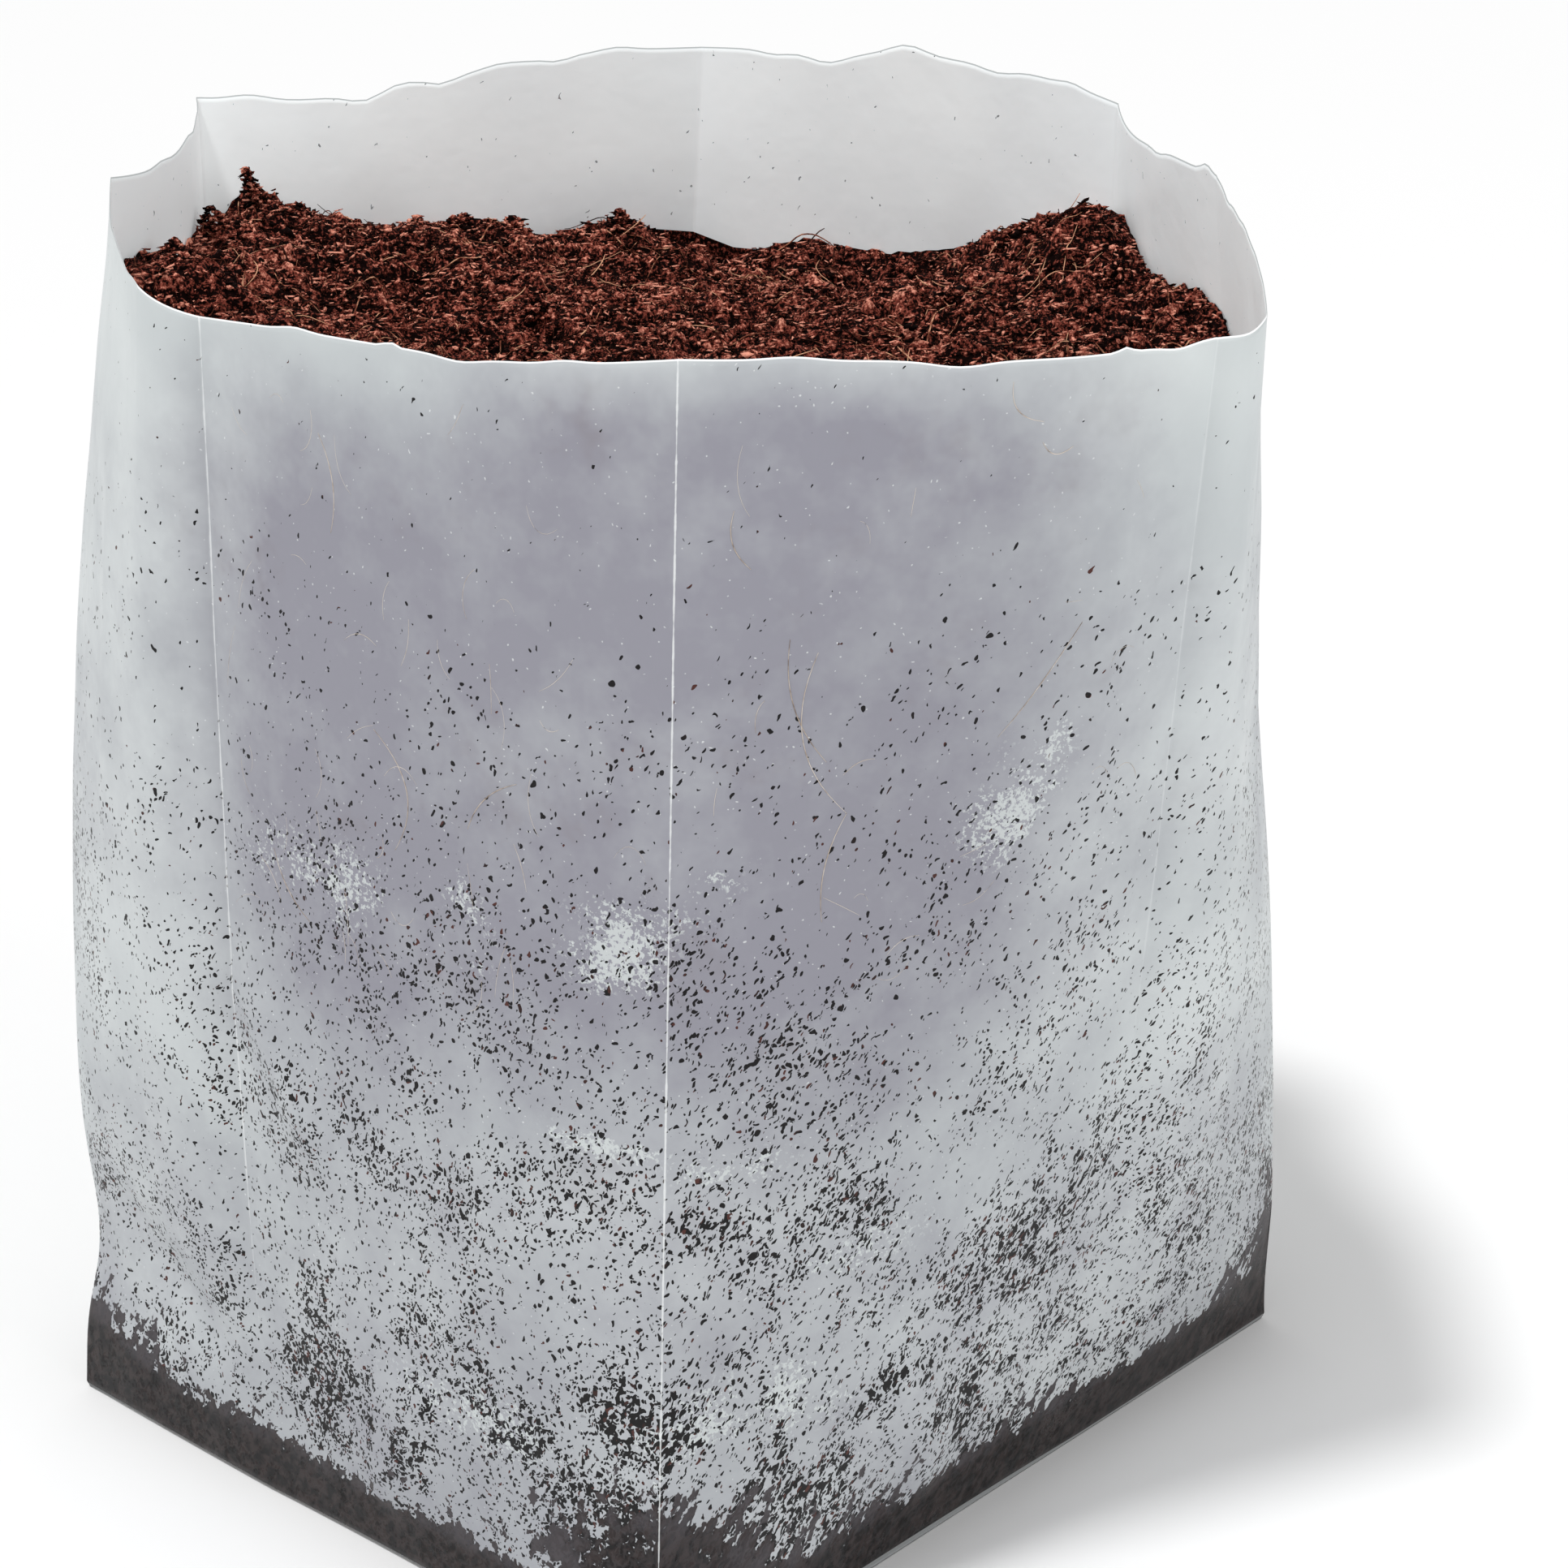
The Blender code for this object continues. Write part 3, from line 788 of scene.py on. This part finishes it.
def film_gap(film_tree, point):
    """How far a point is inside the film, measured outwards, or -1 beyond it."""
    out = Vector((point[0], point[1], 0.0)).normalized()
    hit, _, _, distance = film_tree.ray_cast(Vector((0.0, 0.0, point[2])), out)
    if hit is None:
        return -1.0
    return distance - math.hypot(point[0], point[1])


def make_fill(material, wall, film_tree):
    fill = merged_copy(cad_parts["compost"])
    mesh = fill.data
    set_mode("EDIT")
    bpy.ops.mesh.select_mode(type="FACE")
    bpy.ops.mesh.select_all(action="DESELECT")
    set_mode("OBJECT")
    for polygon in mesh.polygons:
        polygon.select = polygon.normal.z > TOP_FACING and polygon.center.z > TOP_FROM
    set_mode("EDIT")
    bpy.ops.mesh.subdivide(number_cuts=TOP_CUTS)
    set_mode("OBJECT")
    top = np.zeros(len(mesh.vertices), bool)
    for polygon in mesh.polygons:
        if polygon.select:
            top[list(polygon.vertices)] = True
    points = np.zeros(len(mesh.vertices) * 3, np.float32)
    mesh.vertices.foreach_get("co", points)
    points = points.reshape(-1, 3).astype(float)
    away = outline_distance(points[top, :2], wall)
    moves, tone = crumble(points[top], away)
    points[top] += moves
    for index in np.flatnonzero(top)[away < NEAR_FILM]:
        gap = film_gap(film_tree, points[index])
        if gap < RIM_PULL:
            reach = math.hypot(points[index][0], points[index][1])
            points[index][:2] *= (reach + gap - RIM_GAP) / reach
    side = ~top & (np.abs(points[:, 2]) > 2.0 * MM)
    inwards = unit(points[side] * (1.0, 1.0, 0.0))
    deep = 0.6 + 1.6 * falling(points[side][:, 2], 232.0 * MM, 20.0 * MM)
    points[side] -= inwards * deep[:, None] * MM
    mesh.vertices.foreach_set("co", points.astype(np.float32).ravel())
    tones = np.full(len(points), 0.3)
    tones[top] = tone
    add_values(mesh, "tone", tones)
    mesh.update()
    finish_piece(fill, "fill", material, smooth=False)
    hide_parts("compost")
    return fill


def surface_tree(fill):
    mesh = fill.data
    points = [vertex.co.copy() for vertex in mesh.vertices]
    return BVHTree.FromPolygons(points, [tuple(p.vertices) for p in mesh.polygons])


def on_surface(tree, x, y):
    """The fill's surface straight below a place."""
    return tree.ray_cast(Vector((x, y, 0.4)), Vector((0.0, 0.0, -1.0)))[0]


def joined_piece(name, parts, tones, material):
    """One mesh from many small shapes: (vertices, faces) each."""
    points, faces, values = [], [], []
    for (shape, sides), tone in zip(parts, tones):
        first = len(points)
        points.extend(shape)
        faces.extend([tuple(first + corner for corner in side) for side in sides])
        values.extend([tone] * len(shape))
    mesh = bpy.data.meshes.new(name)
    mesh.from_pydata([tuple(point) for point in points], [], faces)
    mesh.update()
    add_values(mesh, "tone", values)
    finish_piece(add_object(name, mesh), name, material)


# Uneven shapes made of each kind, and how far each kind is stretched along its three axes.
SHAPES_EACH = 6
STRETCHES = {
    "large": ((0.8, 1.5), (0.6, 1), (0.5, 0.9)),
    "small": ((1, 2.2), (0.5, 0.9), (0.45, 0.8)),
    "bit": ((1.1, 2.4), (0.6, 1.1), (0.5, 0.9)),
}


def crumb_shapes(chance, kind):
    """A few uneven crumbs about 2 units across, or longer, from balls and short sticks."""
    shapes = []
    for _ in range(SHAPES_EACH):
        fresh_selection()
        if kind == "large":
            bpy.ops.mesh.primitive_uv_sphere_add(segments=7, ring_count=5, radius=1.0)
        elif kind == "small":
            bpy.ops.mesh.primitive_ico_sphere_add(subdivisions=1, radius=1.0)
        else:
            turn = (0.0, 1.5708, 0.0)
            bpy.ops.mesh.primitive_cylinder_add(vertices=4, radius=0.55, depth=2.0, rotation=turn)
            bpy.ops.object.transform_apply(location=False, rotation=True, scale=False)
        ball = bpy.context.active_object
        stretch = [chance.uniform(*reach) for reach in STRETCHES[kind]]
        lean = Vector([chance.uniform(0, 9) for _ in range(3)])
        shape = []
        for vertex in ball.data.vertices:
            swell = 1.0 + 1.3 * noise.noise(vertex.co * 1.1 + lean)
            shape.append(Vector([c * s * swell for c, s in zip(vertex.co, stretch)]))
        mesh = ball.data
        shapes.append((shape, [tuple(p.vertices) for p in mesh.polygons]))
        bpy.data.objects.remove(ball, do_unlink=True)
        bpy.data.meshes.remove(mesh)
    return shapes


def inside_outline(spots, wall):
    """Whether each place in plan is inside the film."""
    inside = np.zeros(len(spots), bool)
    for start, end in zip(wall, np.roll(wall, -1, axis=0)):
        if start[1] != end[1]:
            spans = (start[1] > spots[:, 1]) != (end[1] > spots[:, 1])
            cross = start[0] + (spots[:, 1] - start[1]) / (end[1] - start[1]) * (end[0] - start[0])
            inside ^= spans & (spots[:, 0] < cross)
    return inside


def random_places(seed, wall, margin, count):
    """Random places in plan inside the film, and how far each is from it."""
    chance = np.random.default_rng(seed)
    spots = chance.uniform(wall.min(axis=0), wall.max(axis=0), (3 * count, 2))
    spots = spots[inside_outline(spots, wall)]
    edges = outline_distance(spots, wall)
    spots = spots[edges > margin][:count]
    return [(x, y, edge) for (x, y), edge in zip(spots, edges[edges > margin])]


def turned(shape, size, place, chance):
    turn = Matrix.Rotation(chance.uniform(0, 6.283), 3, "Z")
    turn = turn @ Matrix.Rotation(chance.uniform(-0.9, 0.9), 3, "X")
    return [turn @ (point * size) + place for point in shape[0]], shape[1]


def inside_film(film_tree, crumb):
    return all(film_gap(film_tree, point) > CRUMB_GAP for point in crumb[0])


def strand(path, radius, sides=3):
    """A thin round fibre along a path, pointed at both ends."""
    points, faces = [], []
    count = len(path)
    for index, place in enumerate(path):
        ahead = (path[min(index + 1, count - 1)] - path[max(index - 1, 0)]).normalized()
        aside = ahead.orthogonal().normalized()
        beside = ahead.cross(aside)
        thick = radius * (0.45 + 0.55 * math.sin(math.pi * (index + 0.5) / count))
        for step in range(sides):
            angle = 2.0 * math.pi * step / sides
            points.append(place + (aside * math.cos(angle) + beside * math.sin(angle)) * thick)
    for index in range(count - 1):
        for step in range(sides):
            after = (step + 1) % sides
            low, high = index * sides, (index + 1) * sides
            faces.append((low + step, low + after, high + after, high + step))
    faces.append(tuple(reversed(range(sides))))
    faces.append(tuple((count - 1) * sides + step for step in range(sides)))
    return points, faces


def lying_path(trees, chance, x, y, length, lift):
    """A fibre that curls over the fill, with its middle or one end raised."""
    heading = chance.uniform(0.0, 2.0 * math.pi)
    curl = chance.uniform(-1.0, 1.0) * 110.0
    steps = max(6, int(length / (1.3 * MM)))
    raised = chance.choice(("middle", "end"))
    path = []
    for index in range(steps + 1):
        hit = on_surface(trees.fill, x, y)
        if hit is None or film_gap(trees.film, hit) < FIBRE_GAP:
            break
        part = index / steps
        rise = math.sin(math.pi * part) if raised == "middle" else part**1.6
        path.append(hit + Vector((0.0, 0.0, 0.35 * MM + lift * rise)))
        step = length / steps
        heading += curl * step + chance.uniform(-0.25, 0.25)
        x += math.cos(heading) * step
        y += math.sin(heading) * step
    return path


def smoothed(path):
    for _ in range(2):
        between = [(a + b * 2.0 + c) / 4.0 for a, b, c in zip(path, path[1:], path[2:])]
        path = [path[0], *between, path[-1]]
    return path


# Tufts of small crumbs that stand up from the fill: place in plan, height and spread.
TUFTS = (
    (-84, 85.5, 10, 1.6), (-94, 73, 4, 2.4), (-107, 50, 6, 2.8), (-75, 86, 3, 2.6), (-49, 96, 3.5, 2.2),
    (-38, 99, 2.5, 2.6), (-26, 102, 2.5, 2.6), (-1, 106, 4.5, 2.4), (78, 72, 2, 3.4), (90, 62, 2.2, 3),
    (99, 44, 3, 3.2), (104, 12, 4, 3), (-99, 30, 4, 3), (34, 60, 4, 3.2), (20, -40, 4, 3.2),
    (-50, -30, 4, 3), (60, -60, 4, 3.2), (0, -95, 4, 3), (-20, 30, 3.5, 3), (70, 20, 3.5, 3),
)


def add_tuft(trees, chance, tuft, shapes, parts, tones):
    """Crumbs heaped on one place, broad at the foot and ragged at the top."""
    x, y, height, spread = tuft
    foot = on_surface(trees.fill, x * MM, y * MM)
    if foot is None:
        return
    lean = Vector((chance.uniform(-0.25, 0.25), chance.uniform(-0.25, 0.25), 1.0))
    for _ in range(int(40 + height * 14)):
        part = chance.random() ** 1.3
        wide = (1.5 * spread * (1.0 - part) ** 0.8 + 0.4) * chance.random() ** 0.5 * MM
        angle = chance.uniform(0.0, 2.0 * math.pi)
        aside = Vector((math.cos(angle), math.sin(angle), 0.0)) * wide
        size = chance.uniform(0.35, 0.85) * MM
        place = foot + lean * (part * height * MM) + aside
        crumb = turned(chance.choice(shapes), size, place, chance)
        if inside_film(trees.film, crumb):
            parts.append(crumb)
            tones.append(chance.uniform(-0.1, 0.75))


# Steps along a long fibre's path.
FIBRE_STEPS = 14

# Single fibres that stand or lie free: foot in plan, where the tip is from it, and the bend.
FREE_FIBRES = (
    (-70, -48, -6, 4, 9, 4.5), (-92, -32, 0.5, 2, 5, 0.8), (-66, -8, 8, 8, 3.5, 0.8),
    (-54, -30, 8, 6, 4, -1.5), (-9, -34, 6, 4, 8, 5), (-4, -38, 9, 2, 4, -5), (-2, 102, 7, 2, 5, 2),
    (-10, 78, 5, 12, 3, 1), (46, -36, 1.5, 2, 8, 1.2), (58, -40, -2, 4, 9, -1.5), (30, -10, 8, -3, 4, 3),
    (20, 20, -7, 5, 4, 3), (84, 26, 6, 8, 3.5, 1.5), (70, 40, -6, 4, 3, -2.5), (-30, 40, 7, 6, 3, 2),
    (-84, 30, 2, 7, 4, 2),
)


def free_fibre(tree, fibre):
    """A fibre that rises from the fill in one bend."""
    x, y, aside, back, rise, bend = fibre
    foot = on_surface(tree, x * MM, y * MM)
    run = Vector((aside, back, rise)) * MM
    across = Vector((run.y, -run.x, 0.0)).normalized() * (bend * MM)
    path = []
    for step in range(FIBRE_STEPS + 1):
        part = step / FIBRE_STEPS
        lift = Vector((0.0, 0.0, abs(bend) * 0.3 * MM)) * math.sin(math.pi * part)
        path.append(foot + run * part + across * arch(part) + lift)
    return path


def scatter(trees, chance, places, shapes, sizes, lifts, tones):
    """Crumbs that lie on the fill, none of them through the film."""
    parts, values = [], []
    for x, y, edge in places:
        hit = on_surface(trees.fill, x, y)
        if hit is None:
            continue
        size = chance.uniform(*sizes) * MM
        place = hit + Vector((0.0, 0.0, size * chance.uniform(*lifts)))
        crumb = turned(chance.choice(shapes), size, place, chance)
        if edge > NEAR_FILM or inside_film(trees.film, crumb):
            parts.append(crumb)
            values.append(chance.triangular(*tones))
    return parts, values


Trees = collections.namedtuple("Trees", "fill film")

# Loose crumbs of each kind: piece, seed and number of their places, how far these stay off the
# film, and ranges of size, lift in sizes, and tone with the commonest one.
CRUMBS = {
    "large": ("large_crumbs", 5, 620, 2.5, (0.7, 1.5), (-0.4, 0.3), (-0.1, 0.7, 0.2)),
    "small": ("small_crumbs", 6, 7000, 0.6, (0.35, 0.85), (-0.1, 0.8), (-0.2, 0.95, 0.2)),
    "bit": ("coir_bits", 7, 15500, 0.4, (0.3, 0.62), (0.1, 1.3), (-0.15, 1.15, 0.45)),
}
CRUMB_SEED = 417

# Loose fibres: seed and number of their places, and how far these stay off the film. Long and
# short ones have a length, lift and share of pale ones, pale and dark ones a radius and tone.
FIBRE_PLACES = (8, 900, 3.0)
LONG_EVERY = 8
LONG_FIBRE = ((9.0, 20.0), (0.2, 4.0), 0.22)
SHORT_FIBRE = ((3.0, 8.0), (0.2, 2.2), 0.04)
PALE_FIBRE = ((0.09, 0.16), (0.8, 1.3))
DARK_FIBRE = ((0.10, 0.26), (0.0, 0.7))


def make_loose_coir(trees, wall, material, fibre_material):
    chance = random.Random(CRUMB_SEED)
    shapes = {kind: crumb_shapes(chance, kind) for kind in CRUMBS}
    for kind, (name, seed, count, margin, *ranges) in CRUMBS.items():
        places = random_places(seed, wall, margin * MM, count)
        parts, tones = scatter(trees, chance, places, shapes[kind], *ranges)
        if kind == "small":
            for tuft in TUFTS:
                add_tuft(trees, chance, tuft, shapes[kind], parts, tones)
        joined_piece(name, parts, tones, material)

    parts, tones = [], []
    seed, count, margin = FIBRE_PLACES
    for index, (x, y, _) in enumerate(random_places(seed, wall, margin * MM, count)):
        lengths, lifts, pale_share = SHORT_FIBRE if index % LONG_EVERY else LONG_FIBRE
        length = chance.uniform(*lengths) * MM
        path = lying_path(trees, chance, x, y, length, chance.uniform(*lifts) * MM)
        if len(path) < 5:
            continue
        radii, shades = PALE_FIBRE if chance.random() < pale_share else DARK_FIBRE
        parts.append(strand(smoothed(path), chance.uniform(*radii) * MM))
        tones.append(chance.uniform(*shades))
    for fibre in FREE_FIBRES:
        parts.append(strand(smoothed(free_fibre(trees.fill, fibre)), 0.17 * MM))
        tones.append(chance.uniform(1.0, 1.3))
    joined_piece("coir_fibres", parts, tones, fibre_material)


# Long fibres held against the film: panel, start, end, sideways bow and how pale it is.
PRESSED_FIBRES = (
    ("front", 0.25, 0.8, 0.31, 0.68, 6, 0.75), ("front", 0.31, 0.68, 0.27, 0.6, 2, 0.6),
    ("front", 0.2, 0.81, 0.27, 0.72, 3, 0.5), ("front", 0.76, 0.8, 0.6, 0.72, -1, 0.65),
    ("front", 0.6, 0.985, 0.66, 0.955, 2.5, 0.9), ("front", 0.66, 0.94, 0.72, 0.935, 2, 0.7),
    ("front", 0.1, 0.9, 0.13, 0.86, 2, 0.6), ("front_left", 0.3, 0.93, 0.33, 0.86, -2.5, 0.7),
    ("front_left", 0.42, 0.72, 0.46, 0.63, -6, 0.6), ("front_left", 0.72, 0.7, 0.62, 0.66, 2, 0.55),
    ("front_left", 0.15, 0.6, 0.24, 0.55, 2, 0.5), ("back", 0.35, 0.8, 0.48, 0.7, 5, 0.7),
    ("back_right", 0.55, 0.75, 0.42, 0.66, 5, 0.7), ("back_left", 0.4, 0.6, 0.55, 0.52, 3, 0.6),
    ("right", 0.45, 0.7, 0.6, 0.62, 3, 0.6),
)


# Short scraps pressed on the film: seed, number, steps along each, and the panels they lie on.
SCRAP_SEED = 88
SCRAPS = 90
SCRAP_STEPS = 8
SCRAP_PANELS = ("front", "front_left", "front", "front_left", "back", "right", "back_right")


def laid_on_film(film_tree, guesses, lift):
    """A path on the film's outer face from places near it, each with its way outwards."""
    path = []
    for guess, out in guesses:
        hit = film_tree.ray_cast(guess + out * 0.03, -out)[0]
        if hit is not None:
            path.append(hit + out * lift)
    return path


def make_pressed_fibres(film_tree, material):
    parts, tones = [], []
    for panel, along, share, end_along, end_share, bow, tone in PRESSED_FIBRES:
        start = film_place(panel, along, share)
        end = film_place(panel, end_along, end_share)
        out = Vector((start.x + end.x, start.y + end.y, 0.0)).normalized()
        aside = (end - start).cross(out).normalized() * (bow * MM)
        guesses = []
        for step in range(FIBRE_STEPS + 1):
            part = step / FIBRE_STEPS
            guesses.append((start.lerp(end, part) + aside * arch(part), out))
        path = laid_on_film(film_tree, guesses, 0.02 * MM)
        if len(path) > 4:
            parts.append(strand(smoothed(path), 0.11 * MM, 4))
            tones.append(tone)

    chance = random.Random(SCRAP_SEED)
    for _ in range(SCRAPS):
        panel = chance.choice(SCRAP_PANELS)
        along, share = chance.uniform(0.06, 0.92), chance.uniform(0.50, 0.95)
        heading, bend = chance.uniform(0.0, 6.283), chance.uniform(-2.2, 2.2)
        length = chance.uniform(0.02, 0.055)
        guesses = []
        for _ in range(SCRAP_STEPS + 1):
            along = min(max(along + math.cos(heading) * length / SCRAP_STEPS * 1.5, 0.02), 0.97)
            share = min(share + math.sin(heading) * length / SCRAP_STEPS, 0.97)
            heading += bend / SCRAP_STEPS
            guess = film_place(panel, along, share)
            guesses.append((guess, Vector((guess.x, guess.y, 0.0)).normalized()))
        path = laid_on_film(film_tree, guesses, 0.0)
        if len(path) > 4:
            parts.append(strand(smoothed(path), chance.uniform(0.04, 0.07) * MM, 4))
            tones.append(chance.uniform(0.6, 1.2))
    joined_piece("pressed_fibres", parts, tones, material)


# The studio.

FLOOR_SIZE = 6.0
FLOOR_COLOUR = (0.93, 0.93, 0.93)

# The floor lies a hair below the foot. The world lights the bag with less than it shows.
FLOOR_DROP = 0.0002
WORLD_LIGHT = 0.56


def make_floor():
    fresh_selection()
    bpy.ops.mesh.primitive_plane_add(size=FLOOR_SIZE, location=(0.0, 0.0, -FLOOR_DROP))
    floor = bpy.context.active_object
    floor.name = "studio_floor"
    material, shader, nodes = new_material("studio_floor")
    nodes.feed(shader, {"Base Color": FLOOR_COLOUR, "Roughness": 0.9, "Specular IOR Level": 0.0})
    floor.data.materials.append(material)


def make_world():
    world = bpy.data.worlds.new("studio")
    bpy.context.scene.world = world
    world.use_nodes = True
    tree = world.node_tree
    nodes = Nodes(tree)
    rays = nodes.add("LightPath")
    seen = nodes.math("MAXIMUM", rays.outputs["Is Camera Ray"], rays.outputs["Is Glossy Ray"])
    seen = nodes.math("MAXIMUM", seen, rays.outputs["Is Transmission Ray"])
    strength = nodes.plus(nodes.times(seen, 1.0 - WORLD_LIGHT), WORLD_LIGHT)
    nodes.feed(tree.nodes["Background"], {"Color": (1.0, 1.0, 1.0), "Strength": strength})


# Lamps: place, power and size, and what they point at.
LAMPS = {
    "left_lamp": ((-1.00, -0.80, 0.55), 3.0, 0.90),
    "right_lamp": ((1.10, -0.90, 0.55), 5.6, 0.90),
}
LAMP_TARGET = (0.0, 0.0, 0.15)

# The high lamp that throws the shadow: the way to it, its strength and how wide it looks.
SUN_PLACE = (-0.24, -0.20, 1.0)
SUN_STRENGTH = 1.55
SUN_ANGLE = 7.0


def aim(holder, way):
    holder.rotation_euler = way.to_track_quat("-Z", "Y").to_euler()


def make_lamps():
    for name, (place, power, size) in LAMPS.items():
        lamp = bpy.data.lights.new(name, "AREA")
        lamp.energy = power
        lamp.size = size
        holder = add_object(name, lamp)
        holder.location = place
        aim(holder, Vector(LAMP_TARGET) - Vector(place))
    sun = bpy.data.lights.new("sun_lamp", "SUN")
    sun.energy = SUN_STRENGTH
    sun.angle = math.radians(SUN_ANGLE)
    aim(add_object("sun_lamp", sun), -Vector(SUN_PLACE))


# The camera, in metres and radians, and its focal length in pixels of the 1932 pixel frame.
CAMERA_PLACE = (-0.00743, -0.82908, 0.50347)
CAMERA_PITCH = 0.40781
CAMERA_YAW = 0.04525
CAMERA_ROLL = -0.02117
FOCAL_PIXELS = 5000.0
FRAME_PIXELS = 1932.0
SENSOR_WIDTH = 36.0


def make_camera():
    level, drop = math.cos(CAMERA_PITCH), math.sin(CAMERA_PITCH)
    ahead = Vector((math.sin(CAMERA_YAW) * level, math.cos(CAMERA_YAW) * level, -drop))
    right = ahead.cross(Vector((0.0, 0.0, 1.0))).normalized()
    up = right.cross(ahead)
    cosine, sine = math.cos(CAMERA_ROLL), math.sin(CAMERA_ROLL)
    across = right * cosine + up * sine
    above = up * cosine - right * sine
    data = bpy.data.cameras.new("camera")
    data.sensor_width = SENSOR_WIDTH
    data.lens = FOCAL_PIXELS / FRAME_PIXELS * SENSOR_WIDTH
    data.clip_start = 0.01
    holder = add_object("camera", data)
    turn = Matrix((across, above, -ahead)).transposed()
    holder.matrix_world = Matrix.Translation(CAMERA_PLACE) @ turn.to_4x4()
    bpy.context.scene.camera = holder


def fill_outline(grid, shares):
    """The inside of the film in plan, at about the fill's surface."""
    row = int(np.argmin(np.abs(shares - (FILL_LEVEL + 10.0 * MM) / BAG_HEIGHT)))
    return grid[row, :, :2][::3]


make_camera()
make_floor()
make_world()
make_lamps()

coir, fibres, pressed = (make_coir_material(name, *finish) for name, finish in COIR_FINISHES.items())
film, film_points, film_shares = make_film(make_film_material())
film_wall = fill_outline(film_points, film_shares)
film_surface = surface_tree(film)
fill = make_fill(coir, film_wall, film_surface)
make_loose_coir(Trees(surface_tree(fill), film_surface), film_wall, coir, fibres)
make_pressed_fibres(film_surface, pressed)

bpy.context.scene.view_settings.view_transform = "Standard"
